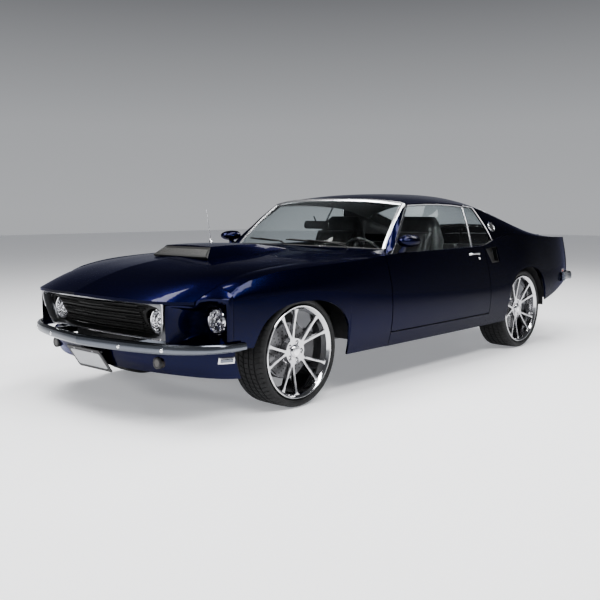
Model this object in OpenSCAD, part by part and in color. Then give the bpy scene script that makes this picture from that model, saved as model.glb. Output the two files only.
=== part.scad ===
/* [Overall size] */
// Length over the two bumpers
length = 4770; // [4500:10:5000]
// Greatest width of the body sides
body_w = 1810; // [1740:5:1880]
// Height of the roof's crown above the ground
roof_h = 1272; // [1230:2:1320]
// Distance between the two axles
wheelbase = 2743; // [2700:5:2790]
// From the front bumper's tip back to the front axle
front_overhang = 950; // [930:5:970]

/* [Wheels] */
// Outside diameter of a tyre
tyre_d = 652; // [640:1:664]
// Outside diameter of a rim's lip
rim_d = 548; // [530:1:560]
// Width of a tyre over its sidewalls
tyre_w = 246; // [225:1:255]
// How far a tyre's sidewall stands inside the greatest half width of the body
tyre_inset = 63; // [59:1:82]
// Number of forked spokes in a wheel
spokes = 5; // [4:1:7]
// Diameter of a brake disc
disc_d = 330; // [280:1:350]

/* [Body panels] */
// Thickness of the outer panels
panel_t = 12; // [8:1:16]
// Thickness of a whole door below its window
door_t = 78; // [60:1:95]
// Gap between two neighbouring panels
gap = 8; // [7:0.5:9]
// Thickness of the window glass
glass_t = 6; // [5:0.5:8]
// Height of the sill's underside
sill_h = 255; // [245:1:270]
// Height of the waistline at the doors
belt_h = 866; // [850:1:885]
// Length of a door along the sill
door_l = 1272; // [1230:2:1300]
// From the front axle back to the door's front edge
door_set = 823; // [800:1:850]
// Half the width of the front arch
front_arch_w = 392; // [385:1:400]
// Height of the front arch's top
front_arch_h = 630; // [624:1:645]
// Half the width of the rear arch
rear_arch_w = 345; // [338:1:355]
// Height of the rear arch's top
rear_arch_h = 676; // [665:1:690]

/* [Front] */
// Height of the bonnet's tip
nose_h = 690; // [675:1:705]
// Diameter of a headlamp
lamp_d = 146; // [130:1:160]
// Height of the lamps' middles
lamp_h = 548; // [540:1:556]
// Height of a bumper blade
bumper_h = 62; // [52:1:72]
// Number of bars in the grille
grille_bars = 9; // [7:1:12]

/* [Hidden] */
$fn = 64;

// Where things stand along the car, X forward from the middle of its length
nose_x = length / 2;
tail_x = -length / 2;
front_axle_x = nose_x - front_overhang;
rear_axle_x = front_axle_x - wheelbase;
door_front_x = front_axle_x - door_set;
door_rear_x = door_front_x - door_l;
half_w = body_w / 2;
axle_h = tyre_d / 2;
track = body_w - tyre_w - 2 * tyre_inset;
kingpin_y = track / 2 - 35;
apron_y = kingpin_y - 258;
rail_y = apron_y - 86;
liner_in_y = track / 2 - tyre_w / 2 - 48;
side_low = sill_h + 7;
door_low = sill_h + 103;

// Interpolation along tables of [place, value] pairs, by smooth cubic stretches
function lerp(a, b, u) = a + (b - a) * u;
function knot(t, x, i = 0) = i >= len(t) - 2 || x < t[i + 1][0] ? i : knot(t, x, i + 1);
function grade(t, i) = i == 0 ? (t[1][1] - t[0][1]) / (t[1][0] - t[0][0])
    : i == len(t) - 1 ? (t[i][1] - t[i - 1][1]) / (t[i][0] - t[i - 1][0])
    : (t[i + 1][1] - t[i - 1][1]) / (t[i + 1][0] - t[i - 1][0]);
function along(t, x) = let (
        i = knot(t, x), a = t[i], b = t[i + 1], h = b[0] - a[0],
        u = min(1, max(0, (x - a[0]) / h)), m = grade(t, i) * h, n = grade(t, i + 1) * h)
    a[1] * (2 * u^3 - 3 * u^2 + 1) + m * (u^3 - 2 * u^2 + u) + b[1] * (3 * u^2 - 2 * u^3) + n * (u^3 - u^2);
function spread(a, b, n) = [for (i = [0:n]) lerp(a, b, i / n)];

// Places a share of the way along the two stretches of the rear quarter, ahead of the axle and behind its arch
function ahead(k) = lerp(rear_axle_x, door_rear_x, k);
function behind(k) = lerp(tail_x, rear_axle_x - rear_arch_w, k);
// Plan of the body side: its greatest half width at each place
width_plan = [[behind(0.14), half_w - 122], [behind(0.31), half_w - 84], [behind(0.53), half_w - 48],
    [behind(0.94), half_w - 18], [rear_axle_x, half_w - 1], [ahead(0.62), half_w],
    [door_front_x - 600, half_w], [door_front_x, half_w - 3], [front_axle_x - 400, half_w - 5],
    [front_axle_x, half_w - 12], [front_axle_x + 300, half_w - 34], [front_axle_x + 560, half_w - 76]];
// Height of the crest, where the side turns into the top
crest_height = [[behind(0.14), belt_h + 29], [behind(0.67), belt_h + 41], [rear_axle_x - 200, belt_h + 58],
    [ahead(0.14), belt_h + 71], [ahead(0.46), belt_h + 66], [ahead(0.69), belt_h + 42],
    [ahead(0.91), belt_h + 8], [door_rear_x + 60, belt_h], [door_front_x - 300, belt_h - 6],
    [door_front_x, belt_h - 14], [front_axle_x - 435, belt_h - 36], [front_axle_x + 140, belt_h - 60],
    [front_axle_x + 365, belt_h - 96], [front_axle_x + 465, belt_h - 128], [front_axle_x + 560, belt_h - 190]];
// How far the crest lies inside the greatest half width
crest_inset = [[behind(0.14), 45], [behind(0.67), 82], [rear_axle_x, 98], [ahead(0.62), 88],
    [door_rear_x, 74], [door_front_x - 300, 66], [door_front_x, 64], [front_axle_x - 435, 58],
    [front_axle_x, 55], [front_axle_x + 365, 40], [front_axle_x + 560, 16]];
// Height of the crease along the side
crease_height = [[behind(0.14), belt_h - 200], [behind(0.94), belt_h - 200], [rear_axle_x, belt_h - 170],
    [ahead(0.62), belt_h - 250], [door_rear_x, belt_h - 276],
    [door_front_x, belt_h - 232], [front_axle_x - 435, belt_h - 200], [front_axle_x, belt_h - 174],
    [front_axle_x + 265, belt_h - 174], [front_axle_x + 465, belt_h - 182], [front_axle_x + 560, belt_h - 204]];

function half_width(x) = along(width_plan, x);
function crest_z(x) = along(crest_height, x);
function crest_y(x) = half_width(x) - along(crest_inset, x);
function crease_z(x) = along(crease_height, x);
// Half width of the side at a height: tucked in below, upright at the crease, leaning in above it
tuck = 40;
bulge_z = sill_h + 245;
lean_share = 0.1;
function side_y(x, z) = let (w = half_width(x), c = crease_z(x), k = crest_z(x), b = min(bulge_z, c - 60))
    z < b ? w - tuck * ((b - z) / (b - sill_h))^2
    : z < c ? w - lean_share * along(crest_inset, x) * ((z - b) / (c - b))^2
    : w - along(crest_inset, x) * lerp(lean_share, 1, ((z - c) / (k - c))^1.25);

// Lower edge of the sides, with the two arches cut out as flattened rounds
arch_power = 2.5;
function arch_rise(u) = max(0, 1 - abs(u)^arch_power)^(1 / arch_power);
quarter_low = [[behind(0.14), sill_h + 265], [behind(0.38), sill_h + 235], [behind(0.67), sill_h + 175],
    [rear_axle_x - rear_arch_w, sill_h + 120]];
fender_nose_low = sill_h + 150;
function over_rear(x) = abs(x - rear_axle_x) < rear_arch_w;
function over_front(x) = abs(x - front_axle_x) < front_arch_w;
function base_z(x) = x < rear_axle_x - rear_arch_w + 1 ? along(quarter_low, x)
    : x > front_axle_x + front_arch_w - 1 ? fender_nose_low : side_low;
function side_low_z(x) =
    over_rear(x) ? max(x < rear_axle_x ? along(quarter_low, rear_axle_x - rear_arch_w) : axle_h,
        axle_h + (rear_arch_h - axle_h) * arch_rise((x - rear_axle_x) / rear_arch_w))
    : over_front(x) ? max(x > front_axle_x ? fender_nose_low : axle_h,
        axle_h + (front_arch_h - axle_h) * arch_rise((x - front_axle_x) / front_arch_w))
    : base_z(x);

// Solids made from grids of points
function tris_of(q) = [for (f = q) each [[f[0], f[1], f[2]], [f[0], f[2], f[3]]]];
function mesh_volume(p, t) = [for (f = t) p[f[0]] * cross(p[f[1]], p[f[2]])] * [for (f = t) 1];
module closed_mesh(points, quads) {
    t = tris_of(quads);
    polyhedron(points, mesh_volume(points, t) < 0 ? t : [for (f = t) [f[2], f[1], f[0]]], convexity = 8);
}
// A sheet between an outer and an inner grid, closed round its edges
module sheet(outer, inner) {
    n = len(outer);
    m = len(outer[0]);
    k = n * m;
    closed_mesh(concat([for (r = outer) each r], [for (r = inner) each r]), concat(
        [for (i = [0:n - 2], j = [0:m - 2]) [i * m + j, (i + 1) * m + j, (i + 1) * m + j + 1, i * m + j + 1]],
        [for (i = [0:n - 2], j = [0:m - 2])
            [k + i * m + j + 1, k + (i + 1) * m + j + 1, k + (i + 1) * m + j, k + i * m + j]],
        [for (i = [0:n - 2]) [(i + 1) * m, i * m, k + i * m, k + (i + 1) * m]],
        [for (i = [0:n - 2]) [i * m + m - 1, (i + 1) * m + m - 1, k + (i + 1) * m + m - 1, k + i * m + m - 1]],
        [for (j = [0:m - 2]) [j, j + 1, k + j + 1, k + j]],
        [for (j = [0:m - 2])
            [(n - 1) * m + j + 1, (n - 1) * m + j, k + (n - 1) * m + j, k + (n - 1) * m + j + 1]]));
}
// A solid skinned over closed rings of points, with flat ends
module rings(r) {
    n = len(r);
    m = len(r[0]);
    mid = [for (e = [r[0], r[n - 1]]) [for (c = [0:2]) [for (p = e) p[c]] * [for (p = e) 1] / m]];
    k = n * m;
    points = concat([for (e = r) each e], mid);
    t = concat(
        tris_of([for (i = [0:n - 2], j = [0:m - 1])
            [i * m + j, (i + 1) * m + j, (i + 1) * m + (j + 1) % m, i * m + (j + 1) % m]]),
        [for (j = [0:m - 1]) [j, (j + 1) % m, k]],
        [for (j = [0:m - 1]) [(n - 1) * m + (j + 1) % m, (n - 1) * m + j, k + 1]]);
    polyhedron(points, mesh_volume(points, t) < 0 ? t : [for (f = t) [f[2], f[1], f[0]]], convexity = 8);
}
// A solid skinned over rings that run round into one another, as a hollow frame does
module ring_loop(r) {
    n = len(r);
    m = len(r[0]);
    points = [for (e = r) each e];
    t = tris_of([for (i = [0:n - 1], j = [0:m - 1])
        [i * m + j, (i + 1) % n * m + j, (i + 1) % n * m + (j + 1) % m, i * m + (j + 1) % m]]);
    polyhedron(points, mesh_volume(points, t) < 0 ? t : [for (f = t) [f[2], f[1], f[0]]], convexity = 8);
}
function rounded(n, p) = [for (i = [0:n - 1]) let (c = cos(360 * (i + 0.5) / n), s = sin(360 * (i + 0.5) / n))
    [sign(c) * abs(c)^(2 / p), sign(s) * abs(s)^(2 / p)]];
function unit(v) = v / max(norm(v), 1e-9);
// The grid set back by t along its normals, away from the outside as seen from the car's spine
spine_h = 500;
function set_back(g, t, along_x = true) = let (n = len(g), m = len(g[0]))
    [for (i = [0:n - 1]) [for (j = [0:m - 1]) let (
        p = g[i][j],
        a = g[min(n - 1, i + 1)][j] - g[max(0, i - 1)][j],
        b = g[i][min(m - 1, j + 1)] - g[i][max(0, j - 1)],
        v = unit(cross(a, b)),
        ref = along_x ? [p[0], 0, spine_h] : [0, 0, spine_h],
        s = v * (p - ref) < 0 ? -1 : 1)
        p - v * s * t]];
module mirrored(side) {
    mirror([0, side < 0 ? 1 : 0, 0]) children();
}

// Top of the bonnet and of the fenders beside it
nose_sweep = [[0, nose_x + 4], [half_w - 605, nose_x - 33], [half_w - 345, nose_x - 100],
    [half_w - 265, nose_x - 160], [half_w - 185, nose_x - 268], [half_w - 90, nose_x - 395]];
function nose_edge_x(y) = along(nose_sweep, abs(y));
hood_half_w = half_w - 193;
hood_rear_x = front_axle_x - 723;
hood_profile = [[0, belt_h + 28], [0.25, belt_h + 14], [0.5, belt_h - 5], [0.62, belt_h - 20],
    [0.77, belt_h - 52], [0.9, belt_h - 110], [1, nose_h]];
hood_fall = [[0, 30], [0.5, 26], [0.8, 20], [1, 18]];
ridge_w = 250;
ridge_h = 14;
function hood_z(u, y) = along(hood_profile, u)
    - along(hood_fall, u) * (abs(y) / hood_half_w)^2.2
    + ridge_h * (1 - u * 0.6) * max(0, 1 - abs(y) / ridge_w) - ridge_h * 0.4;
function hood_top_at(x, y) = hood_z(min(1, max(0, (x - hood_rear_x) / (nose_edge_x(y) - 4 - hood_rear_x))), y);
hood_rows = concat([0, ridge_w / 2], [for (k = [0, 0.22, 0.45, 0.67, 0.85, 1]) lerp(ridge_w, hood_half_w, k)]);
hood_ys = concat([for (i = [len(hood_rows) - 1:-1:1]) -hood_rows[i]], hood_rows);
function hood_point(u, y) = [lerp(hood_rear_x, nose_edge_x(y) - 4, u), y, hood_z(u, y)];
module hood() {
    g = [for (u = [0, 0.12, 0.25, 0.38, 0.5, 0.6, 0.7, 0.78, 0.85, 0.91, 0.96, 1])
        [for (y = hood_ys) hood_point(u, y)]];
    color("midnightblue") sheet(g, [for (r = g) [for (p = r) p - [0, 0, panel_t + 4]]]);
}

// The scoop stands on the bonnet, open to the front
scoop_front_x = front_axle_x + 195;
scoop_top_x = front_axle_x + 128;
scoop_rear_x = front_axle_x - 560;
scoop_half_w = 258;
scoop_top_half_w = 216;
scoop_rise = 62;
module hood_scoop() {
    // Each section runs over the scoop from foot to foot: [share of the way from foot to top, share of the rise]
    half = [[0, 0], [0.7, 0.72], [1, 1]];
    ridge = [[0.45, 1.06], [0, 1.1]];
    lean = scoop_front_x - scoop_top_x;
    function section(u, thin) = let (x = lerp(scoop_rear_x, scoop_top_x, u), k = 0.16 + 0.84 * (1 - (1 - u)^2),
            foot = scoop_half_w * lerp(0.8, 1, u), top = scoop_top_half_w * lerp(0.8, 1, u),
            crown = hood_top_at(x, 0) - 6,
            pts = concat([for (q = half) [lerp(foot, top, q[0]), q[1]]], [for (q = ridge) [top * q[0], q[1]]]))
        both_ways([for (i = [0:4]) let (q = pts[i], y = q[0] - (i < 3 ? thin : 0),
            px = x + (u == 1 ? lean * [1, 0.3, 0, 0, 0][i] : 0), base = hood_top_at(px, y) + 0.7)
            [px, y, i == 0 ? base : max(base + (thin > 0 ? 0.1 : 3), crown + scoop_rise * k * q[1] - thin)]]);
    us = [0, 0.19, 0.42, 0.7, 1];
    color("midnightblue") sheet([for (u = us) section(u, 0)], [for (u = us) section(u, 9)]);
}

// Front fender: side, crest and the strip beside the bonnet, in one pressing
fender_nose_x = front_axle_x + 520;
function arch_stations(x, w, n) = [for (i = [0:n]) x - w * cos(180 * i / n) * 0.9999];
fender_xs = concat([door_front_x + gap, door_front_x + 140, door_front_x + 290, front_axle_x - front_arch_w - 2],
    arch_stations(front_axle_x, front_arch_w, 14), [front_axle_x + front_arch_w + 2],
    spread(front_axle_x + front_arch_w + 55, fender_nose_x, 2));
function side_rows(x, low, high, crease) = concat([for (i = [0:5]) lerp(low, crease, i / 5)],
    [for (i = [1:4]) lerp(crease, high, i / 4)]);
function side_section(x) = [for (z = side_rows(x, side_low_z(x), crest_z(x), crease_z(x))) [x, side_y(x, z), z]];
function fender_top(x) = let (e = hood_top_at(x, hood_half_w))
    [[x, lerp(crest_y(x), hood_half_w + gap, 0.35), lerp(crest_z(x), e, 0.35) + 6],
     [x, lerp(crest_y(x), hood_half_w + gap, 0.7), lerp(crest_z(x), e, 0.7) + 5],
     [x, hood_half_w + gap, e]];
fender_grid = [for (x = fender_xs) concat(side_section(x), fender_top(x))];
module front_fender(side) {
    g = fender_grid;
    color("midnightblue") mirrored(side) sheet(g, set_back(g, panel_t));
}

// Upper body: crown line, the rail above the side windows and the valley at the foot of the sail panels
crown_line = [[tail_x + 130, belt_h + 46], [tail_x + 360, belt_h + 96], [rear_axle_x - 507, belt_h + 142],
    [rear_axle_x - 114, belt_h + 278], [rear_axle_x + 108, roof_h - 60], [rear_axle_x + 295, roof_h - 22],
    [rear_axle_x + 428, roof_h - 6], [rear_axle_x + 606, roof_h], [door_front_x - 912, roof_h - 2],
    [door_front_x - 612, roof_h - 16], [door_front_x - 420, roof_h - 46]];
rail_height = [[tail_x + 130, belt_h + 27], [tail_x + 380, belt_h + 47], [rear_axle_x - 392, belt_h + 86],
    [rear_axle_x - 114, belt_h + 146], [ahead(0.32), roof_h - 180], [ahead(0.83), roof_h - 105],
    [door_front_x - 956, roof_h - 72], [door_front_x - 612, roof_h - 75], [door_front_x - 505, roof_h - 80]];
rail_width = [[tail_x + 130, half_w - 262], [tail_x + 380, half_w - 244], [rear_axle_x - 192, half_w - 228],
    [ahead(0.32), half_w - 245], [ahead(0.83), half_w - 253], [door_front_x - 912, half_w - 265],
    [door_front_x - 505, half_w - 283]];
valley_inset = 48;
valley_drop = 14;
function crown_z(x) = along(crown_line, x);
function rail(x) = [x, along(rail_width, x), min(along(rail_height, x), crown_z(x) - 10)];
function valley(x) = [x, crest_y(x) - valley_inset, crest_z(x) - valley_drop];
// The roof's skin at a share v of the way from one rail, 0, to the crown, 1
function roof_point(x, v) = let (r = rail(x), k = (1 - v))
    [x, r[1] * k, crown_z(x) - (crown_z(x) - r[2]) * k^2.3];
// The sail and side window plane, from the valley, 0, to the rail, 1
side_bow = 10;
function sail_point(x, v) = let (a = valley(x), b = rail(x), s = side_bow * 4 * v * (1 - v))
    lerp(a, b, v) + [0, s * 0.9, s * 0.4];

header_x = door_front_x - 425;
header_bow = 83;
rear_glass_top_x = rear_axle_x + 150;
rear_glass_low_x = rear_axle_x - 480;
deck_x = rear_glass_low_x - 62;
rear_glass_v = 0.14;
roof_shares = [0.001, 0.07, rear_glass_v, 0.2, 0.38, 0.6, 0.82, 1];
function both_ways(f) = concat(f, [for (i = [len(f) - 2:-1:0]) [f[i][0], -f[i][1], f[i][2]]]);
function roof_row(u) = both_ways([for (v = roof_shares) let (
    front = header_x - header_bow * (1 - v)^2, rear = rear_glass_top_x + 20 * (1 - v)^2)
    roof_point(lerp(front, rear, u), v)]);
module roof() {
    g = [for (u = [0, 0.06, 0.15, 0.28, 0.42, 0.56, 0.7, 0.82, 0.92, 1]) roof_row(u)];
    color("midnightblue") {
        sheet(g, set_back(g, panel_t + 6));
        for (side = [1, -1]) mirrored(side) pillar();
        deck();
    }
}

// Windscreen and the slim pillars beside it
screen_low_x = front_axle_x - 745;
screen_low_half_w = half_w - 199;
screen_low_bow = 235;
screen_low_h = belt_h + 38;
screen_side_drop = 20;
function screen_low(s) = [screen_low_x - screen_low_bow * s^2, screen_low_half_w * s,
    screen_low_h - screen_side_drop * s^2];
function screen_top(s) = let (r = roof_point(header_x - header_bow * s^2, 1 - abs(s) * 0.985))
    [r[0] + 12, r[1] * sign(s), r[2] - 7];
function screen_point(s, v) = let (a = screen_low(s), b = screen_top(s), k = 14 * 4 * v * (1 - v))
    lerp(a, b, v) + [k * 0.6, 0, k * 0.8];
module windshield() {
    g = [for (v = spread(0, 1, 5)) [for (s = spread(-1, 1, 10)) screen_point(s, v) - [4, 0, 4]]];
    color("lightcyan", 0.4) sheet(g, set_back(g, glass_t));
}
pillar_t = 34;
module pillar() {
    // The pillar's face runs between the screen's edge and the door glass's front edge
    g = [for (v = [0, 0.06, 0.1, 0.25, 0.45, 0.65, 0.85, 1]) let (
        a = screen_point(1, v), d = door_edge(v), c = [d[0] + gap, v < 0.08 ? d[1] - 34 : d[1], d[2]])
        [a + [-2, 3, 1], lerp(a, c, 0.5) + [3, 5, 5], c]];
    in = [10, pillar_t * 0.8, 16];
    sheet(g, [for (r = g) [r[0] - [12, -1, 18], r[1] - in, r[2] - in]]);
}

// Side windows lie in the sail's plane, set in from it
door_glass_rear_low_x = door_rear_x + 95;
door_glass_rear_top_x = door_rear_x + 36;
door_glass_front_low_x = door_front_x - 132;
door_glass_front_top_x = door_front_x - 590;
glass_set = 8;
function door_edge(v) = let (x = lerp(door_glass_front_low_x, door_glass_front_top_x + 60, v^1.08))
    sail_point(x, v * 0.99);
function glass_grid(front_low, front_top, rear_low, rear_top, v0, v1, nu, nv) =
    [for (i = [0:nu]) [for (j = [0:nv]) let (v = lerp(v0, v1, j / nv), u = i / nu,
        x = lerp(lerp(front_low, front_top, v), lerp(rear_low, rear_top, v), u))
        sail_point(x, v)]];
module door_glass(side) {
    g = set_back(glass_grid(door_glass_front_low_x - gap, door_glass_front_top_x - gap + 40,
        door_glass_rear_low_x, door_glass_rear_top_x, 0.0, 0.93, 6, 6), glass_set);
    color("lightcyan", 0.4) mirrored(side) sheet(g, set_back(g, glass_t));
}
quarter_rear_low_x = door_rear_x - 230;
quarter_rear_top_x = door_rear_x - 103;
module quarter_glass() {
    g = set_back([for (i = [0:3]) [for (j = [0:6]) let (v = lerp(0.002, 0.96, j / 6),
        front = lerp(door_glass_rear_low_x - 12, door_glass_rear_top_x - 12, v),
        rear = lerp(quarter_rear_low_x - 3.4, quarter_rear_top_x - 3.4, v^1.3))
        sail_point(lerp(rear, front, i / 3), v)]], glass_set);
    color("lightcyan", 0.4) for (side = [1, -1]) mirrored(side) sheet(g, set_back(g, glass_t));
}

// Rear quarter: side, crest and valley in one pressing, and the sail panel that stands on it
tail_side_x = tail_x + 118;
quarter_xs = concat([tail_side_x, behind(0.285), behind(0.435), behind(0.67), behind(0.86),
    rear_axle_x - rear_arch_w - 2], arch_stations(rear_axle_x, rear_arch_w, 14),
    spread(rear_axle_x + rear_arch_w + 2, door_rear_x - gap, 3));
module rear_quarter(side) {
    g = [for (x = quarter_xs) concat(side_section(x), [[x, crest_y(x) - 20, crest_z(x) - 2], valley(x)])];
    color("midnightblue") mirrored(side) difference() {
        sheet(g, set_back(g, panel_t));
        translate([0, half_w + 20, 0]) rotate([90, 0, 0]) linear_extrude(110) polygon(duct_mouth);
    }
}
// Air intakes high on the quarters: a ramp that sinks behind the skin, between two short walls
duct_lip_x = door_rear_x - 201;
duct_top_z = belt_h - 8;
duct_low_z = belt_h - 126;
duct_mouth = [[door_rear_x - 22, duct_top_z - 10], [duct_lip_x, duct_top_z], [duct_lip_x, duct_low_z],
    [door_rear_x - 78, duct_low_z - 8]];
duct_depth = 46;
module side_scoops() {
    function place(u, v) = lerp(lerp(duct_mouth[3], duct_mouth[0], v) - [2.6, 0],
        lerp(duct_mouth[2], duct_mouth[1], v) + [0.6, 0], u);
    rim = [[0.037, 0], [0.07, 1], [0.93, 1], [0.963, 0]];
    g = [for (u = spread(0, 1, 4)) [for (w = rim) let (p = place(u, w[0]))
        [p[0], side_y(p[0], p[1]) - 1.5 - duct_depth * u * w[1], p[1]]]];
    h = [for (r = g) [r[0] - [0, 3, 4], r[1] - [0, 4, 3], r[2] - [0, 4, -3], r[3] - [0, 3, -4]]];
    color("black") for (side = [1, -1]) mirrored(side) sheet(g, h);
}
module sail_panels() {
    function place(i, v) =
        lerp(lerp(quarter_rear_low_x - 4, quarter_rear_top_x - 4, v^1.3), tail_side_x, i / 12);
    function rise(x) = norm(rail(x) - valley(x));
    function leaf(low, high) = [for (i = [0:12]) [for (j = [0:6]) let (
        l = rise(place(i, j / 6)), v = lerp(low / l, 1 - high / l, j / 6)) sail_point(place(i, v), v)]];
    color("midnightblue") for (side = [1, -1]) mirrored(side)
        sheet(leaf(1.5, 1), set_back(leaf(3, panel_t + 18), panel_t));
}

// Rear window and boot lid, both cut from the roof's falling skin
seam = 0.5;
module rear_window() {
    g = [for (u = spread(0, 1, 8))
        both_ways([for (v = [rear_glass_v + 0.003, 0.2, 0.38, 0.6, 0.82, 1])
            let (x = lerp(rear_glass_top_x + 20 * (1 - v)^2 - 0.9, rear_glass_low_x + 0.9, u)) roof_point(x, v)])];
    color("lightcyan", 0.4) sheet(set_back(g, 6), set_back(g, 6 + glass_t));
}
lid_front_x = deck_x - gap - 1;
lid_rear_x = tail_side_x + gap;
lid_v = 0.2;
lid_lip = 14;
function lid_point(u, v) = let (x = lerp(lid_front_x, lid_rear_x, u))
    roof_point(x, v) + [0, 0, lid_lip * max(0, (u - 0.7) / 0.3)^2];
module trunk_lid() {
    g = [for (u = spread(0, 1, 7)) both_ways([for (v = [lid_v, 0.35, 0.55, 0.78, 1]) lid_point(u, v)])];
    color("midnightblue") sheet(g, set_back(g, panel_t));
}

// The strips of deck beside the rear window and the boot lid, and the panel between those two
module deck() {
    edge = lid_v - 0.0125;
    for (side = [1, -1]) mirrored(side) {
        xs = concat(spread(rear_glass_top_x - seam, rear_glass_low_x, 5), spread(deck_x, tail_side_x, 4));
        g = [for (x = xs) let (
            v1 = x > rear_glass_low_x ? rear_glass_v
                : lerp(rear_glass_v, edge, min(1, (rear_glass_low_x - x) / (rear_glass_low_x - deck_x))))
            [for (k = [0.008, 0.5, 1]) roof_point(x, v1 * k)]];
        sheet(g, set_back(g, panel_t));
    }
    h = [for (k = [0, 0.5, 1]) let (x = lerp(rear_glass_low_x - seam, deck_x, k))
        both_ways([for (v = [lerp(rear_glass_v, edge, k) + 0.0015, 0.38, 0.6, 0.82, 1]) roof_point(x, v)])];
    sheet(h, set_back(h, panel_t));
}

// Cowl between bonnet and windscreen, with its front lip and the corners beside the pillars
cowl_front_x = hood_rear_x - gap - 1;
cowl_shelf_z = belt_h - 72;
module cowl() {
    s = spread(-1, 1, 10);
    g = [for (k = [0, 0.5, 1]) [for (v = s) let (
        rear = screen_low(v) + [-3.5, 0, -4.4], y = v * screen_low_half_w,
        front = [cowl_front_x, y, hood_z(0, y)])
        lerp(rear, front, k)]];
    lip = [for (z = [0, 1]) [for (v = s) let (y = v * screen_low_half_w)
        [cowl_front_x, y, z == 0 ? hood_z(0, y) - panel_t - 1 : cowl_shelf_z + 0.4]]];
    corner = [for (i = [0, 1]) [for (k = [0, 0.5, 1]) let (
        x = lerp(screen_low_x - screen_low_bow + 8 + 32 * k, door_front_x - 4, i))
        [x, lerp(screen_low_half_w + 0.5, valley(x)[1] - 34, k),
            lerp(screen_low_h - screen_side_drop - 4 - (x - screen_low_x + screen_low_bow) * 0.08,
                crest_z(x) - 8, k)]]];
    color("midnightblue") {
        sheet(g, set_back(g, panel_t));
        sheet(lip, [for (r = lip) [for (p = r) p - [11, 0, 0]]]);
        for (side = [1, -1]) mirrored(side) sheet(corner, [for (r = corner) [for (p = r) p - [0, 0, panel_t]]]);
    }
}

// Front end: lamp housings that carry the fenders forward, bonnet-wide grille opening and bumper
house_in_y = half_w - 293;
house_out_y = half_w - 71;
function slant_x(y) = lerp(nose_x - 150, nose_x - 400, (y - house_in_y) / (house_out_y - house_in_y));
function top_z(x, y) = let (e = hood_top_at(x, hood_half_w))
    y < hood_half_w + gap ? hood_top_at(x, y) - panel_t - 14
    : lerp(e, crest_z(x), min(1, (y - hood_half_w - gap) / (crest_y(x) - hood_half_w - gap)));
house_split = 2 * (hood_half_w + gap - house_in_y) / (house_out_y - house_in_y) - 1;
house_outline = [[1, -0.75], [1, -0.25], [1, 0.25], [1, 0.75], [0.97, 0.97], [0.7, 1], [0.35, 1],
    [house_split + 0.01, 1], [house_split - 0.04, 1], [-0.45, 1], [-0.8, 1], [-0.98, 0.98], [-1, 0.7], [-1, 0.2],
    [-1, -0.3], [-1, -0.75], [-0.97, -0.97], [-0.7, -1], [-0.25, -1], [0.25, -1], [0.7, -1], [0.97, -0.97]];
function house_ring(t, size, back = 0) = [for (q = house_outline) let (
    y = lerp(house_in_y, house_out_y, (q[0] * size + 1) / 2),
    x = lerp(fender_nose_x + 0.5, slant_x(y), t) - back,
    low = fender_nose_low + lerp(22, -6, (y - house_in_y) / (house_out_y - house_in_y)))
    [x, y, lerp(low, top_z(x, y), (q[1] * size + 1) / 2)]];
lamp_out_x = front_axle_x + 522;
lamp_out_y = half_w - 202;
lamp_in_x = front_axle_x + 740;
lamp_in_y = half_w - 424;
function lamp_ring(r, x) = [for (i = [0:len(house_outline) - 1]) let (a = 360 * i / len(house_outline) - 37)
    [x, lamp_out_y + r * cos(a), lamp_h + r * sin(a)]];
module lamp_housings() {
    color("midnightblue") for (side = [1, -1]) mirrored(side)
        ring_loop([house_ring(0, 1), house_ring(0.33, 1), house_ring(0.67, 1), house_ring(1, 1),
            house_ring(1, 0.9, 4), lamp_ring(lamp_d / 2 + 9, lamp_out_x + 14),
            lamp_ring(lamp_d / 2 + 1.2, lamp_out_x), lamp_ring(lamp_d / 2 + 9, lamp_out_x - 12),
            house_ring(0, 0.88)]);
}
module lamp_unit(x, y) {
    r = lamp_d / 2;
    translate([x, y, lamp_h]) rotate([0, 90, 0]) rotate_extrude()
        polygon([[0, -90], [24, -90], [30, -70], [r - 6, -14], [r, -10], [r, 6], [r - 4, 10], [r - 9, 10],
            [r - 13, 4], [r * 0.55, 13], [0, 17]]);
}
module headlamps() {
    color("white") for (side = [1, -1]) {
        lamp_unit(lamp_out_x, side * lamp_out_y);
        lamp_unit(lamp_in_x, side * lamp_in_y);
    }
}

// The grille's frame: six corners seen from the front, leaning forward to the bonnet's tip
frame_top_z = nose_h - panel_t - 6;
frame_low_z = nose_h - 238;
function frame_x(y, z) = lerp(lerp(nose_x - 157, nose_x - 178, min(1, abs(y) / frame_mid_y)), nose_edge_x(y) - 16,
    (z - frame_low_z) / (frame_top_z - frame_low_z));
frame_low_y = house_in_y - 72;
frame_mid_y = house_in_y - 29;
frame_top_y = house_in_y - 8;
frame_right = [[0, 0], [frame_low_y / 2, 0], [frame_low_y, 0], [frame_mid_y, 0.36], [frame_top_y, 0.93],
    [frame_top_y / 2, 0.985], [0, 1]];
frame_path = concat(frame_right,
    [for (i = [len(frame_right) - 2:-1:1]) [-frame_right[i][0], frame_right[i][1]]]);
function frame_ring(inset, back) = [for (p = frame_path) let (
    y = p[0] * (1 - inset / frame_top_y), z = lerp(frame_low_z + inset, frame_top_z - inset, p[1]))
    [frame_x(y, z) - back, y, z]];
module grille_surround() {
    color("silver") ring_loop([frame_ring(0, 0), frame_ring(10, 0), frame_ring(22, 40), frame_ring(22, 62),
        frame_ring(0, 62)]);
}
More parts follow.
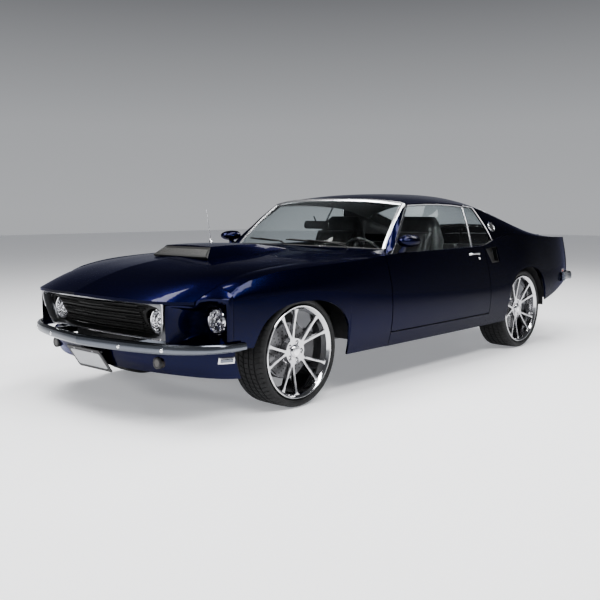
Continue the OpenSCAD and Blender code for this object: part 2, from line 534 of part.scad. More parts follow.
// Half width of the opening at a share k of its height, and its face, with a row of points at every bar
function frame_half(k) = (k < 0.36 ? lerp(frame_low_y, frame_mid_y, k / 0.36)
    : lerp(frame_mid_y, frame_top_y, min(1, (k - 0.36) / 0.57))) * (1 - 25.3 / frame_top_y);
function frame_share(s) = s < 0.5 ? 1 - 0.03 * s : 0.985 - 0.11 * (s - 0.5);
function frame_z(k, s) = lerp(frame_low_z + 22.5, frame_top_z - 22.5, k * frame_share(abs(s)));
function face_point(k, s) = [frame_x(s * frame_half(k), frame_z(k, s)) - 62, s * frame_half(k), frame_z(k, s)];
bar_ks = [for (i = [1:grille_bars]) (i - 0.5) / grille_bars];
bar_reach = (lamp_in_y - lamp_d / 2 - 11) / frame_mid_y;
module grille() {
    across = [-1, -bar_reach, -bar_reach / 2, 0, bar_reach / 2, bar_reach, 1];
    face = [for (k = concat([0], bar_ks, [1])) [for (s = across) face_point(k, s)]];
    color("dimgray") {
        difference() {
            sheet(face, [for (r = face) [for (p = r) p - [9, 0, 0]]]);
            for (side = [1, -1]) translate([lamp_in_x - 90, side * lamp_in_y, lamp_h]) rotate([0, 90, 0])
                cylinder(d = lamp_d + 1.2, h = 200);
        }
        for (k = bar_ks) rings([for (s = spread(-bar_reach, bar_reach, 4)) let (p = face_point(k, s))
            [for (q = [[0.4, -3], [12, -4], [14, 2], [0.4, 3]]) p + [q[0], 0, q[1]]]]);
    }
}

// Bumper blades, swept along the width; each place is [y, x]
blade_half_w = half_w - 23;
front_path = [[0, nose_x], [blade_half_w / 6, nose_x - 12], [blade_half_w - 562, nose_x - 38],
    [blade_half_w - 382, nose_x - 72], [blade_half_w - 242, nose_x - 118], [blade_half_w - 122, nose_x - 190],
    [blade_half_w - 42, nose_x - 282], [blade_half_w - 6, nose_x - 390], [blade_half_w, nose_x - 480]];
function blade_ring(p, q, h, z) = let (a = unit([q[1], -q[0]]))
    [for (s = [[0, -0.5], [-7, -0.46], [-16, -0.3], [-17, 0], [-14, 0.3], [-6, 0.46], [0, 0.5],
        [10, 0.5], [14, 0.3], [14, -0.3], [10, -0.5]])
        [p[0] - a[0] * (s[0] + 17), p[1] - a[1] * (s[0] + 17), z + s[1] * h]];
front_bumper_z = 424;
bracket_y = rail_y + 42;
function front_bumper_x(y) = along(front_path, abs(y));
module front_bumper() {
    half = [for (i = [0:len(front_path) - 1]) [front_path[i][1], front_path[i][0]]];
    all = concat([for (i = [len(half) - 1:-1:1]) [half[i][0], -half[i][1]]], half);
    n = len(all);
    color("silver") {
        rings([for (i = [0:n - 1]) let (
            d = all[min(n - 1, i + 1)] - all[max(0, i - 1)], k = 1 - 0.25 * (abs(all[i][1]) / blade_half_w)^4)
            blade_ring(all[i], d, bumper_h * k, front_bumper_z)]);
        for (side = [1, -1]) translate([front_axle_x + 560, side * bracket_y - 16, front_bumper_z - 20])
            cube([front_bumper_x(bracket_y) - 36 - front_axle_x - 560, 32, 40]);
    }
}
rear_bumper_z = 545;
function wrap(x) = [side_y(x, rear_bumper_z) + 35, x];
rear_path = [[0, tail_x], [half_w - 605, tail_x + 6], [half_w - 305, tail_x + 22], [half_w - 165, tail_x + 42],
    [half_w - 108, tail_x + 66], [half_w - 63, tail_x + 110], wrap(tail_x + 190), wrap(tail_x + 260),
    wrap(tail_x + 330)];
module rear_bumper() {
    half = [for (p = rear_path) [p[1], p[0]]];
    all = concat([for (i = [len(half) - 1:-1:1]) [half[i][0], -half[i][1]]], half);
    n = len(all);
    color("silver") {
        rings([for (i = [0:n - 1]) let (d = all[max(0, i - 1)] - all[min(n - 1, i + 1)])
            blade_ring(all[i], d, bumper_h * 1.3, rear_bumper_z)]);
        for (side = [1, -1]) translate([tail_x + 38, side * (half_w - 485) - 16, rear_bumper_z - 20])
            cube([tail_side_x - 15 - tail_x - 38, 32, 40]);
    }
}
turn_y = half_w - 400;
turn_z = 330;
turn_d = 62;
valance_half_w = half_w - 83;
valance_path = [[0, nose_x - 66], [half_w - 605, nose_x - 96], [half_w - 385, nose_x - 168],
    [half_w - 205, nose_x - 268], [half_w - 115, nose_x - 352], [valance_half_w, nose_x - 424]];
module front_valance() {
    ys = concat([for (i = [5:-1:1]) -valance_path[i][0]], [for (p = valance_path) p[0]]);
    g = [for (k = [0, 0.25, 0.6, 1]) [for (y = ys) let (x = along(valance_path, abs(y)))
        [x - 46 * k^1.6 - 9.4, y,
            lerp(fender_nose_low - 2, sill_h - 12 + 36 * (1 - (abs(y) / valance_half_w)^2), k)]]];
    color("midnightblue") difference() {
        sheet(g, [for (r = g) [for (p = r) p - [panel_t, 0, 0]]]);
        for (y = [-1, 1]) translate([nose_x - 400, y * turn_y, turn_z]) rotate([0, 90, 0])
            cylinder(d = turn_d + 1, h = 400);
    }
}
module turn_lamps() {
    color("orange") for (side = [1, -1]) translate([along(valance_path, turn_y) - 46, side * turn_y, turn_z])
        rotate([0, 90, 0]) cylinder(d = turn_d, h = 36);
}

// Tail: upright panel closing the body, three upright lamps a side and the valance below
tail_low_z = sill_h + 330;
tail_t = 14;
module tail_panel() {
    half = concat([for (z = spread(tail_low_z, crest_z(tail_side_x), 6)) [side_y(tail_side_x, z), z]],
        [[crest_y(tail_side_x) - 20, crest_z(tail_side_x) - 2], [valley(tail_side_x)[1], valley(tail_side_x)[2]]],
        [for (v = [0.3, 0.6]) [sail_point(tail_side_x, v)[1], sail_point(tail_side_x, v)[2]]],
        [for (v = [0.02, 0.1, 0.2, 0.35, 0.55, 0.78]) [lid_point(1, v)[1], roof_point(tail_side_x, v)[2]]]);
    outline = concat(half, [for (i = [len(half) - 1:-1:0]) [-half[i][0], half[i][1]]]);
    color("midnightblue") translate([tail_side_x - 0.8 - tail_t, 0, 0]) rotate([90, 0, 90])
        linear_extrude(tail_t) polygon(outline);
}
tail_lamp_w = 62;
tail_lamp_h = 148;
module tail_lamps() {
    color("firebrick") for (side = [1, -1]) mirrored(side) for (i = [0:2])
        translate([tail_side_x - tail_t - 1.2 - 16, half_w - 477 + i * 92 - tail_lamp_w / 2, belt_h - 152])
            cube([16, tail_lamp_w, tail_lamp_h]);
}
module rear_valance() {
    half = [[0, sill_h + 150], [half_w - 405, sill_h + 140], [half_w - 205, sill_h + 160],
        [half_w - 126, sill_h + 250],
        [half_w - 123, tail_low_z - 0.4], [0, tail_low_z - 0.4]];
    color("midnightblue") translate([tail_side_x - 0.8 - tail_t, 0, 0]) rotate([90, 0, 90])
        linear_extrude(tail_t) polygon(concat(half, [for (i = [4:-1:1]) [-half[i][0], half[i][1]]]));
}

// Doors, hung on pivots just inside their front edges
hinge_x = door_front_x - 72;
hinge_y = half_w - 24;
door_xs = spread(door_rear_x, door_front_x, 7);
door_top_t = 18;
module door(side) {
    g = [for (x = door_xs) concat(
        [for (z = side_rows(x, door_low, crest_z(x), crease_z(x))) [x, side_y(x, z), z]],
        [[x, valley(x)[1] - glass_set + 0.7, crest_z(x) - 2]])];
    m = len(g[0]);
    flat = [for (r = g) [for (j = [0:m - 1]) let (p = r[j], y = min(p[1] - panel_t, half_w - door_t))
        j == m - 1 ? p - [0, 0, door_top_t - 2] : j == m - 2 ? [p[0], y, p[2] - door_top_t] : [p[0], y, p[2]]]];
    color("midnightblue") mirrored(side) sheet(g, flat);
}
mirror_x = door_front_x - 196;
mirror_y = half_w - 40;
mirror_z = belt_h + 72;
module door_mirror(side) {
    foot = [mirror_x - 6, valley(mirror_x)[1] + 30, crest_z(mirror_x)];
    head = [for (s = [[-74, 0.75], [-70, 0.92], [-40, 1], [0, 0.98], [40, 0.84], [66, 0.55], [78, 0.2]])
        [for (i = [0:19]) let (a = 18 * i)
            [mirror_x + s[0], mirror_y + 66 * s[1] * cos(a), mirror_z + 41 * s[1] * sin(a)]]];
    neck = [mirror_x, mirror_y - 22, mirror_z - 36.5];
    stem = [for (k = [0, 0.5, 1]) [for (i = [0:9]) let (a = 36 * i, c = lerp(foot, neck, k))
        c + [lerp(46, 24, k) * cos(a), lerp(15, 12, k) * sin(a), k == 0 ? 2 - 1.8 * sin(a) : 0]]];
    color("midnightblue") mirrored(side) {
        rings(head);
        rings(stem);
    }
}

// Floor, sills, bulkheads, inner aprons and rails that carry the panels
floor_z = sill_h + 45;
floor_y = half_w - 150;
tunnel_y = 66;
tunnel_z = floor_z + 124;
rear_wall_x = rear_axle_x + 408;
wall_x = door_front_x + 28;
rail_z = 330;
boot_z = sill_h + 190;
divider_x = rear_glass_low_x - 8;
divider_y = liner_in_y - 48;
pin_r = 5;
barrel_r = 8;
pin_clear = 0.06;
hood_pin_x = hood_rear_x + 150;
hood_pin_y = 235;
hood_pin_z = hood_top_at(hood_pin_x, hood_pin_y - 10) - panel_t - 4 - barrel_r - 0.8;
lid_pin_x = lid_front_x - 100;
lid_pin_y = 150;
lid_pin_z = roof_point(lid_pin_x, 1 - lid_pin_y / rail(lid_pin_x)[1])[2] - panel_t - barrel_r - 0.9;
module box(a, b) {
    translate([min(a[0], b[0]), min(a[1], b[1]), min(a[2], b[2])])
        cube([abs(b[0] - a[0]), abs(b[1] - a[1]), abs(b[2] - a[2])]);
}
module rocker() {
    g = [for (x = spread(door_rear_x - 5, door_front_x + 5, 3))
        [for (z = [sill_h, side_low, side_low + 33, door_low - gap])
            [x, side_y(x, max(z, side_low)) - (z == sill_h ? 22 : 0), z]]];
    sheet(g, [for (r = g) [for (p = r) [p[0], floor_y + 0.3, p[2]]]]);
}
module cabin_floor(side) {
    rear = [rear_wall_x, side * tunnel_y, sill_h + 20];
    box(rear, [wall_x + 15, side * floor_y, floor_z]);
    box(rear, [wall_x + 15, side * (tunnel_y + 10), tunnel_z]);
    box([wall_x, side * tunnel_y, sill_h + 20], [wall_x + 15, side * floor_y, cowl_shelf_z]);
    box(rear, [rear_wall_x + 15, side * (liner_in_y + 2), boot_z]);
}
module front_rail(side) {
    box([wall_x, side * rail_y, rail_z], [front_axle_x + 560, side * (apron_y - 12.4), rail_z + 100]);
    box([front_axle_x + 500, side * (rail_y - 90), rail_z + 60],
        [front_axle_x + 750, side * (rail_y - 40), frame_low_z - 0.4]);
}
module hood_stand(side) {
    y = side * hood_pin_y;
    box([wall_x + 15, y - 6, hood_pin_z - 160], [hood_pin_x + 6, y + 6, hood_pin_z - 140]);
    box([hood_pin_x - 6, y - 6, hood_pin_z - 160], [hood_pin_x + 6, y + 6, hood_pin_z]);
}
module lid_stand(side) {
    y = side * lid_pin_y;
    box([lid_pin_x - 6, y - 6, lid_pin_z - 145], [lid_pin_x + 6, y + 6, lid_pin_z]);
}
module floor_pan() {
    color("dimgray") {
        union() {
            for (side = [1, -1]) {
                cabin_floor(side);
                front_rail(side);
                hood_stand(side);
                lid_stand(side);
            }
            box([rear_wall_x, -tunnel_y - 10, tunnel_z - 10], [wall_x + 15, tunnel_y + 10, tunnel_z]);
            box([wall_x, -tunnel_y - 10, tunnel_z - 10], [wall_x + 15, tunnel_y + 10, cowl_shelf_z]);
            box([wall_x, 6 - screen_low_half_w, cowl_shelf_z - 15],
                [cowl_front_x, screen_low_half_w - 6, cowl_shelf_z]);
            box([front_axle_x + 500, -rail_y - 20, rail_z + 10], [front_axle_x + 560, rail_y + 20, rail_z + 90]);
            box([tail_side_x - 0.1, -liner_in_y - 2, boot_z - 15], [rear_wall_x + 15, liner_in_y + 2, boot_z]);
            box([divider_x, -divider_y, boot_z], [divider_x + 12, divider_y, lid_pin_z - 130]);
            box([lid_pin_x - 12, -lid_pin_y - 30, lid_pin_z - 145],
                [divider_x + 12, lid_pin_y + 30, lid_pin_z - 130]);
        }
        for (side = [1, -1]) mirrored(side) {
            pin(hood_pin_x, hood_pin_y, hood_pin_z);
            pin(lid_pin_x, lid_pin_y, lid_pin_z);
            translate([hinge_x, hinge_y, door_low - gap + 0.3]) cylinder(r = 7, h = gap - 0.7);
            rear_arch_liner();
        }
    }
}
module pin(x, y, z) {
    translate([x, y - 22, z]) rotate([-90, 0, 0]) cylinder(r = pin_r, h = 44);
}
module inner_panels() {
    color("dimgray") for (side = [1, -1]) mirrored(side) {
        rocker();
        apron();
    }
}
module apron() {
    f = set_back(fender_grid, panel_t + 0.95);
    n = len(fender_xs);
    m = len(fender_grid[0]);
    g = [for (i = [2:n - 2]) let (e = f[i][m - 1])
        [f[i][m - 2], e, [e[0], hood_half_w - 2, e[2] - 16], [e[0], lerp(apron_y, hood_half_w, 0.47), e[2] - 35],
            [e[0], apron_y - 12, e[2] - 48], [e[0], apron_y - 12, rail_z + 90]]];
    back = [[0, 0, 9], [0, -8, 9], [0, -8, 10], [0, 0, 11], [0, -12, 11], [0, -12, 0]];
    h = [for (r = g) [for (j = [0:5]) r[j] - back[j]]];
    sheet(g, h);
}
module rear_arch_liner() {
    r = rear_arch_h - axle_h + 22;
    translate([rear_axle_x, 0, axle_h]) rotate([90, 0, 180]) rotate_extrude(angle = 180)
        polygon([[150, -liner_in_y], [r + 9, -liner_in_y], [r + 9, 60 - half_w], [r, 60 - half_w],
            [r, -liner_in_y - 9], [150, -liner_in_y - 9]]);
}

// Hinge barrels hung just below the lids they carry
module barrel(x, y, z) {
    translate([x, y - 20, z]) rotate([-90, 0, 0]) difference() {
        cylinder(r = barrel_r, h = 13);
        translate([0, 0, -1]) cylinder(r = pin_r + pin_clear, h = 15);
    }
}
module hood_hinges() {
    color("dimgray") for (side = [1, -1]) mirrored(side) barrel(hood_pin_x, hood_pin_y, hood_pin_z);
}
module trunk_hinges() {
    color("dimgray") for (side = [1, -1]) mirrored(side) barrel(lid_pin_x, lid_pin_y, lid_pin_z);
}

// Running gear
kp_top = axle_h + 150;
kp_low = axle_h - 150;
hub_r = 25;
module knuckle(side) {
    color("dimgray") mirrored(side) {
        translate([front_axle_x, kingpin_y, kp_low + 8]) cylinder(r = 14, h = kp_top - kp_low - 16);
        translate([front_axle_x, kingpin_y, kp_low - 24]) cylinder(r = 9, h = kp_top - kp_low + 48);
        translate([front_axle_x, kingpin_y - 18, axle_h]) rotate([-90, 0, 0]) cylinder(r = 38, h = 32);
        translate([front_axle_x, kingpin_y, axle_h]) rotate([-90, 0, 0]) cylinder(r = hub_r, h = 96);
        translate([front_axle_x - 150, kingpin_y - 14, axle_h - 24]) cube([150, 24, 44]);
        translate([front_axle_x, track / 2, axle_h]) rotate([-90, 0, 0]) rotate(152)
            rotate_extrude(angle = 56) polygon([[108, -32], [disc_d / 2 + 26, -32], [disc_d / 2 + 26, 49],
                [108, 49], [108, 31], [disc_d / 2 + 7, 31], [disc_d / 2 + 7, -13], [108, -13]]);
    }
}
module front_suspension() {
    color("dimgray") for (side = [1, -1]) mirrored(side) {
        for (z = [kp_top + 6, kp_low - 22]) difference() {
            union() {
                translate([front_axle_x, kingpin_y, z]) cylinder(r = 21, h = 16);
                translate([front_axle_x - 17, apron_y + 0.3, z]) cube([34, kingpin_y - apron_y - 12, 16]);
            }
            translate([front_axle_x, kingpin_y, z - 1]) cylinder(r = 9 + pin_clear, h = 18);
        }
        translate([front_axle_x - 60, apron_y + 0.3, kp_top - 10]) cube([120, 22, 50]);
        translate([front_axle_x - 60, rail_y - 40, kp_low - 22]) cube([120, apron_y + 60 - rail_y, 16]);
        translate([front_axle_x - 40, rail_y + 10, kp_low - 7]) cube([80, 50, rail_z - 0.3 - kp_low + 7]);
    }
}
spring_y = track / 2 - 249;
module driveline() {
    color("dimgray") {
        for (side = [1, -1]) mirrored(side) {
            translate([rear_axle_x, track / 2 - 24, axle_h]) rotate([-90, 0, 0]) cylinder(r = hub_r, h = 84);
            translate([rear_axle_x, 0, axle_h]) rotate([-90, 0, 0]) cylinder(r = 40, h = track / 2 - 14);
            translate([rear_axle_x - 590, spring_y, axle_h + 44]) cube([rear_wall_x - rear_axle_x + 589.7, 62, 22]);
            translate([rear_axle_x - 30, spring_y - 5, axle_h + 30]) cube([60, 72, 20]);
            translate([rear_axle_x - 590, spring_y, axle_h + 60]) cube([22, 62, boot_z - 15.4 - axle_h - 60]);
        }
        translate([rear_axle_x, 0, axle_h]) sphere(r = 100);
        translate([rear_axle_x, 0, axle_h]) rotate([0, 88.8, 0]) cylinder(r = 36, h = 2000);
    }
}
engine_half_w = rail_y - 70;
module engine() {
    color("gray") {
        box([wall_x + 60, -engine_half_w, rail_z - 60], [front_axle_x + 130, engine_half_w, rail_z + 260]);
        for (y = [-1, 1]) box([front_axle_x - 160, y * engine_half_w, rail_z + 30],
            [front_axle_x - 60, y * (rail_y - 0.3), rail_z + 80]);
    }
}
module exhaust() {
    color("gray") for (side = [1, -1]) mirrored(side) {
        translate([door_rear_x - 60, rail_y - 40, sill_h - 4.3]) rotate([0, 90, 0]) cylinder(r = 24, h = 1250);
        translate([tail_side_x + 20, spring_y - 50, boot_z - 45.3]) rotate([0, 90, 0]) cylinder(r = 30, h = 500);
    }
}
module fuel_tank() {
    color("gray") box([tail_side_x + 60, 90 - spring_y, boot_z - 170],
        [rear_axle_x - 420, spring_y - 220, boot_z - 15.3]);
}

// Cabin: the seats fill the width beside the tunnel and stop below the roof
seat_x = door_front_x - 672;
seat_in_y = tunnel_y + 54;
seat_out_y = half_w - 275;
seat_y = (seat_in_y + seat_out_y) / 2;
seat_w = seat_out_y - seat_in_y;
back_h = roof_h - 183 - floor_z - 228.9;
bench_half_w = liner_in_y - 8;
bench_back_h = belt_h - 1 - floor_z - 265.3;
module seat(y) {
    translate([seat_x, y, floor_z]) {
        translate([-240, 30 - seat_w / 2, 0.3]) cube([460, seat_w - 60, 110]);
        translate([0, 0, 110.6]) rings([for (s = [[0, 0.94], [20, 1], [90, 1], [118, 0.9]])
            [for (q = rounded(20, 4)) [q[0] * 255 * s[1], q[1] * seat_w / 2 * s[1], s[0]]]]);
        translate([-232, 0, 228.9]) rings([for (s = [[0, 0.9, 0.86], [30, 1, 1], [back_h * 0.68, 1, 0.96],
            [back_h - 40, 0.9, 0.66], [back_h, 0.7, 0.5]])
            [for (q = rounded(20, 4)) [q[0] * 62 * s[1] - s[0] * 0.3, q[1] * seat_w / 2 * s[2], s[0]]]]);
    }
}
module bench() {
    translate([rear_wall_x + 260, 0, floor_z]) {
        translate([0, 0, 130]) rings([for (s = [[0, 0.96], [20, 1], [110, 1], [135, 0.92]])
            [for (q = rounded(20, 6)) [q[0] * 240 * s[1], q[1] * bench_half_w * s[1], s[0]]]]);
        translate([-170, 0, 265.3]) rings([for (s = [[0, 0.8, 0.9], [40, 1, 0.92], [bench_back_h - 50, 1, 0.88],
            [bench_back_h, 0.7, 0.82]])
            [for (q = rounded(20, 6)) [q[0] * 50 * s[1] - s[0] * 0.25, q[1] * bench_half_w * s[2], s[0]]]]);
        for (side = [1, -1]) box([-220, side * (tunnel_y + 19), 0.3], [180, side * (bench_half_w - 40), 129.7]);
    }
}
module seats() {
    color("black") {
        for (side = [1, -1]) seat(side * seat_y);
        bench();
    }
}
column_l = 50;
dash_half_w = half_w - 215;
dash_outline = [[-282, -226], [-312, -146], [-322, -66], [-292, -20], [-212, -10], [-92, -16], [-52, -66],
    [-72, -166], [-192, -226]];
module wheel_frame() {
    translate([door_front_x - 377, seat_y, belt_h - 96]) rotate([0, 112, 0]) children();
}
module dashboard() {
    color("black") {
        wheel_frame() translate([-50, -70, column_l]) cube([100, 140, 60]);
        rings([for (y = [-1, -0.93, 0, 0.93, 1]) let (k = abs(y) == 1 ? 8 : 0) [for (p = dash_outline)
            [door_front_x + p[0] + (p[0] < -192 ? k : -k), y * dash_half_w, belt_h + p[1]]]]);
        box([door_front_x - 82, -300, belt_h - 166], [wall_x - 0.3, 300, belt_h - 106]);
    }
}
module steering_wheel() {
    color("black") wheel_frame() {
        rotate_extrude() translate([180, 0]) circle(r = 12, $fn = 32);
        for (a = [0, 120, 240]) rotate(a + 60) translate([0, -12, -8]) cube([176, 24, 8]);
        cylinder(r = 46, h = 30, center = true);
        cylinder(r = 22, h = column_l - 0.4);
    }
}
module wheel_at(x, side) {
    translate([x, side * track / 2, axle_h]) rotate([side > 0 ? -90 : 90, 0, 0]) children();
}
module tyre() {
    r = tyre_d / 2;
    w = tyre_w / 2;
    s = rim_d / 2;
    color("black") rotate_extrude() polygon([[s - 19, -w + 20.6], [s + 0.6, -w + 20.6], [s + 0.8, -w + 11],
        [s + 8, -w + 3], [lerp(s, r, 0.45), -w], [lerp(s, r, 0.8), -w + 6], [r - 3, -w + 18], [r, -w + 34],
        [r, w - 34], [r - 3, w - 18], [lerp(s, r, 0.8), w - 6], [lerp(s, r, 0.45), w], [s + 8, w - 3],
        [s + 0.8, w - 11], [s + 0.6, w - 20.6], [s - 19, w - 20.6], [s - 19, w - 30], [s - 6, w - 34],
        [r - 14, w - 40], [r - 14, -w + 40], [s - 6, -w + 34], [s - 19, -w + 30]]);
}
// Forked spokes: a short stem on the hub and two arms that part towards the lip
fork_half = 14;
fork_r = 86;
hub_face_r = 76;
face_dish = 34;
module spoke_plan(reach) {
    tip = reach * [cos(fork_half), sin(fork_half)];
    root = [fork_r, 9];
    along_arm = (tip - root) / norm(tip - root);
    across = [-along_arm[1], along_arm[0]];
    circle(r = hub_face_r);
    for (i = [0:spokes - 1]) rotate(360 / spokes * i) {
        polygon([[30, -26], [fork_r + 4, -17], [fork_r + 4, 17], [30, 26]]);
        for (m = [0, 1]) mirror([0, m, 0]) polygon([root + 8 * across, lerp(root, tip, 0.8) + 7 * across,
            tip + 13 * across, tip + 14 * along_arm, tip - 13 * across, lerp(root, tip, 0.8) - 7 * across,
            root - 8 * across - 6 * along_arm]);
    }
}
module spoke_face(reach, w) {
    ks = [0, 0.3, 0.55, 0.8, 1];
    rotate_extrude() polygon(concat(
        [for (k = ks) [reach * k, w - 16 - face_dish * (1 - k^1.7)]],
        [for (i = [4:-1:0]) let (k = ks[i]) [reach * k, w - 16 - face_dish * (1 - k^1.7) - lerp(36, 20, k)]]));
}
module wheel_rim() {
    s = rim_d / 2;
    w = tyre_w / 2;
    nut_r = 54;
    color("silver") {
        difference() {
            union() {
                rotate_extrude() polygon([[s, w - 6], [s - 4, w - 2], [s - 10, w - 4], [s - 15, w - 10],
                    [s - 24, w - 20], [s - 25, w - 36], [s - 32, w - 62], [s - 38, -w + 44], [s - 26, -w + 30],
                    [s - 25, -w + 20], [s - 14, -w + 8], [s - 4, -w + 4], [s, -w + 8], [s, -w + 20],
                    [s - 19.3, -w + 20], [s - 19.3, -w + 34], [s - 31, -w + 48], [s - 26, w - 64],
                    [s - 19.3, w - 36], [s - 19.3, w - 20], [s, w - 20]]);
                intersection() {
                    spoke_face(s - 22, w);
                    translate([0, 0, w - 100]) linear_extrude(100) spoke_plan(s - 22);
                }
                translate([0, 0, w - 130]) cylinder(r = 70, h = 66);
                translate([0, 0, w - 128]) cylinder(r = disc_d / 2, h = 28);
                rotate_extrude() polygon([[0, w - 54], [38, w - 54], [38, w - 42], [31, w - 35], [0, w - 33]]);
            }
            translate([0, 0, w - 131]) cylinder(r = hub_r + pin_clear, h = 76);
            for (i = [0:spokes - 1]) rotate(360 / spokes * (i + 0.5)) translate([nut_r, 0, w - 70])
                cylinder(r = 13, h = 40);
        }
        for (i = [0:spokes - 1]) rotate(360 / spokes * (i + 0.5)) translate([nut_r, 0, w - 72])
            cylinder(r = 9.5, h = 22, $fn = 6);
    }
}

floor_pan();
inner_panels();
front_fender(1);  // front_fender_left
front_fender(-1);  // front_fender_right
lamp_housings();
rear_quarter(1);  // rear_quarter_left
rear_quarter(-1);  // rear_quarter_right
side_scoops();
roof();
sail_panels();
cowl();
front_valance();
grille();
grille_surround();
front_bumper();
rear_bumper();
headlamps();
turn_lamps();
tail_panel();
tail_lamps();
rear_valance();
windshield();
rear_window();
quarter_glass();
seats();
dashboard();
steering_wheel();
engine();
driveline();
front_suspension();
exhaust();
fuel_tank();
hood();
hood_scoop();
hood_hinges();
trunk_lid();
trunk_hinges();
door(1);  // door_left
door_glass(1);  // door_glass_left
door_mirror(1);  // mirror_left
door(-1);  // door_right
door_glass(-1);  // door_glass_right
door_mirror(-1);  // mirror_right
knuckle(1);  // knuckle_left
knuckle(-1);  // knuckle_right
wheel_at(front_axle_x, 1) tyre();  // tyre_front_left
wheel_at(front_axle_x, -1) tyre();  // tyre_front_right
wheel_at(rear_axle_x, 1) tyre();  // tyre_rear_left
wheel_at(rear_axle_x, -1) tyre();  // tyre_rear_right
wheel_at(front_axle_x, 1) wheel_rim();  // rim_front_left
wheel_at(front_axle_x, -1) wheel_rim();  // rim_front_right
wheel_at(rear_axle_x, 1) wheel_rim();  // rim_rear_left
wheel_at(rear_axle_x, -1) wheel_rim();  // rim_rear_right
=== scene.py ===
"""The fastback coupe's looks: lacquered skin, glass, bright work, wheels and cabin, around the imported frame."""

import math

import bmesh
import bpy
from mathutils import Matrix, Vector
from mathutils.bvhtree import BVHTree


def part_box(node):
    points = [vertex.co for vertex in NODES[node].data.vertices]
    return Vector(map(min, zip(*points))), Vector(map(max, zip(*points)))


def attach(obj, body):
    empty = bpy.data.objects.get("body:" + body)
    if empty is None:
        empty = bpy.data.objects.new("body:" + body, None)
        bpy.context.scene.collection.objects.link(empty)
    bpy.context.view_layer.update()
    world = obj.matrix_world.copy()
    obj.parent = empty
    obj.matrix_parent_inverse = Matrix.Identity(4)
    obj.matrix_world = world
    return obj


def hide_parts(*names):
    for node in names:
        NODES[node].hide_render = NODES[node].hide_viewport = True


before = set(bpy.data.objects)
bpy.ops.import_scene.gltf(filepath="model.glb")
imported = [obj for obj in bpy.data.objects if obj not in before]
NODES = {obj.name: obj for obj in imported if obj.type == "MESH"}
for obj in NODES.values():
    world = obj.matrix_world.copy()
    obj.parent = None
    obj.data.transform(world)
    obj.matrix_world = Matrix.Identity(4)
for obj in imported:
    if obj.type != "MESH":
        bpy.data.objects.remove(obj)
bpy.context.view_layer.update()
SIDES = (("left", 1), ("right", -1))

# Places shared with the frame, in metres
FRONT_AXLE = 1.435
REAR_AXLE = -1.308
AXLE_H = 0.326
WHEEL_Y = 0.719
# Middle of each seat, and the station of the plates behind the rear wheels
SEAT_Y = 0.375
APRON_X = -1.670
# Points of a rim's bore lie between these distances from the axle, and are shown at the third
BORE_FROM, BORE_TO, BORE_SHOWN = 0.020, 0.0256, 0.0268
# The photograph's camera: place, yaw, pitch and roll in degrees, and focal length in its pixels
CAMERA_PLACE = (4.76287, 3.85942, 1.14529)
CAMERA_ANGLES = (-137.7198, -6.5405, -0.024)
SENSOR_MM, FOCAL_PX, PHOTO_PX = 36.0, 787.77, 600.0


# Camera, floor, light
def make_camera():
    data = bpy.data.cameras.new("camera")
    cam = bpy.data.objects.new("camera", data)
    bpy.context.scene.collection.objects.link(cam)
    yaw, pitch, roll = (math.radians(a) for a in CAMERA_ANGLES)
    forward = Vector((math.cos(pitch) * math.cos(yaw), math.cos(pitch) * math.sin(yaw), math.sin(pitch)))
    turn = forward.to_track_quat("-Z", "Y").to_matrix().to_4x4()
    cam.matrix_world = Matrix.Translation(CAMERA_PLACE) @ turn @ Matrix.Rotation(roll, 4, "Z")
    data.sensor_width = SENSOR_MM
    data.lens = SENSOR_MM * FOCAL_PX / PHOTO_PX
    data.clip_end = 200.0
    bpy.context.scene.camera = cam


def area_light(name, place, target, size, power):
    data = bpy.data.lights.new(name, "AREA")
    data.shape = "RECTANGLE"
    data.size, data.size_y = size
    data.energy = power
    light = bpy.data.objects.new(name, data)
    bpy.context.scene.collection.objects.link(light)
    aim = (Vector(target) - Vector(place)).to_track_quat("-Z", "Y")
    light.matrix_world = Matrix.Translation(place) @ aim.to_matrix().to_4x4()


def make_stage():
    bpy.ops.mesh.primitive_plane_add(size=60.0, location=(0, 0, 0))
    floor = bpy.context.object
    floor.name = "floor"
    floor.data.materials.append(floor_material())
    world = bpy.data.worlds.new("world")
    bpy.context.scene.world = world
    world.use_nodes = True
    shade_world(world.node_tree)
    area_light("key", (1.5, 5.0, 6.0), (0.3, 0, 0.5), (6.5, 1.4), 640)
    area_light("top", (-0.5, 0.9, 6.5), (0, 0, 0), (8.0, 1.5), 560)
    area_light("hood", (2.6, -1.7, 6.3), (1.5, 0, 0.5), (4.2, 1.9), 640)
    area_light("front", (8.5, 0.5, 3.6), (1.5, 0, 0.5), (3.2, 1.0), 260)
    area_light("rear", (-6.0, 0.0, 5.8), (-1.5, 0, 0.6), (3.0, 1.5), 260)


def shade_world(tree):
    """A studio that is pale at the horizon and dim overhead, so that bright metal has something to mirror."""
    coords = add_node(tree, "ShaderNodeTexCoord")
    split = add_node(tree, "ShaderNodeSeparateXYZ")
    tree.links.new(coords.outputs["Generated"], split.inputs["Vector"])
    back = tree.nodes["Background"]
    back.inputs["Strength"].default_value = 1.0
    ramp_colour(tree, split.outputs["Z"], [(0.0, (0.48, 0.49, 0.51)), (1.0, (0.04, 0.042, 0.046)),
                                           (0.10, (0.42, 0.43, 0.45)), (0.30,
                                                   (0.09, 0.092, 0.10))], back.inputs["Color"])


# Materials
def new_material(name, **values):
    mat = bpy.data.materials.new(name)
    mat.use_nodes = True
    shader = mat.node_tree.nodes["Principled BSDF"]
    for key, value in values.items():
        shader.inputs[key.replace("_", " ")].default_value = value
    return mat, mat.node_tree, shader


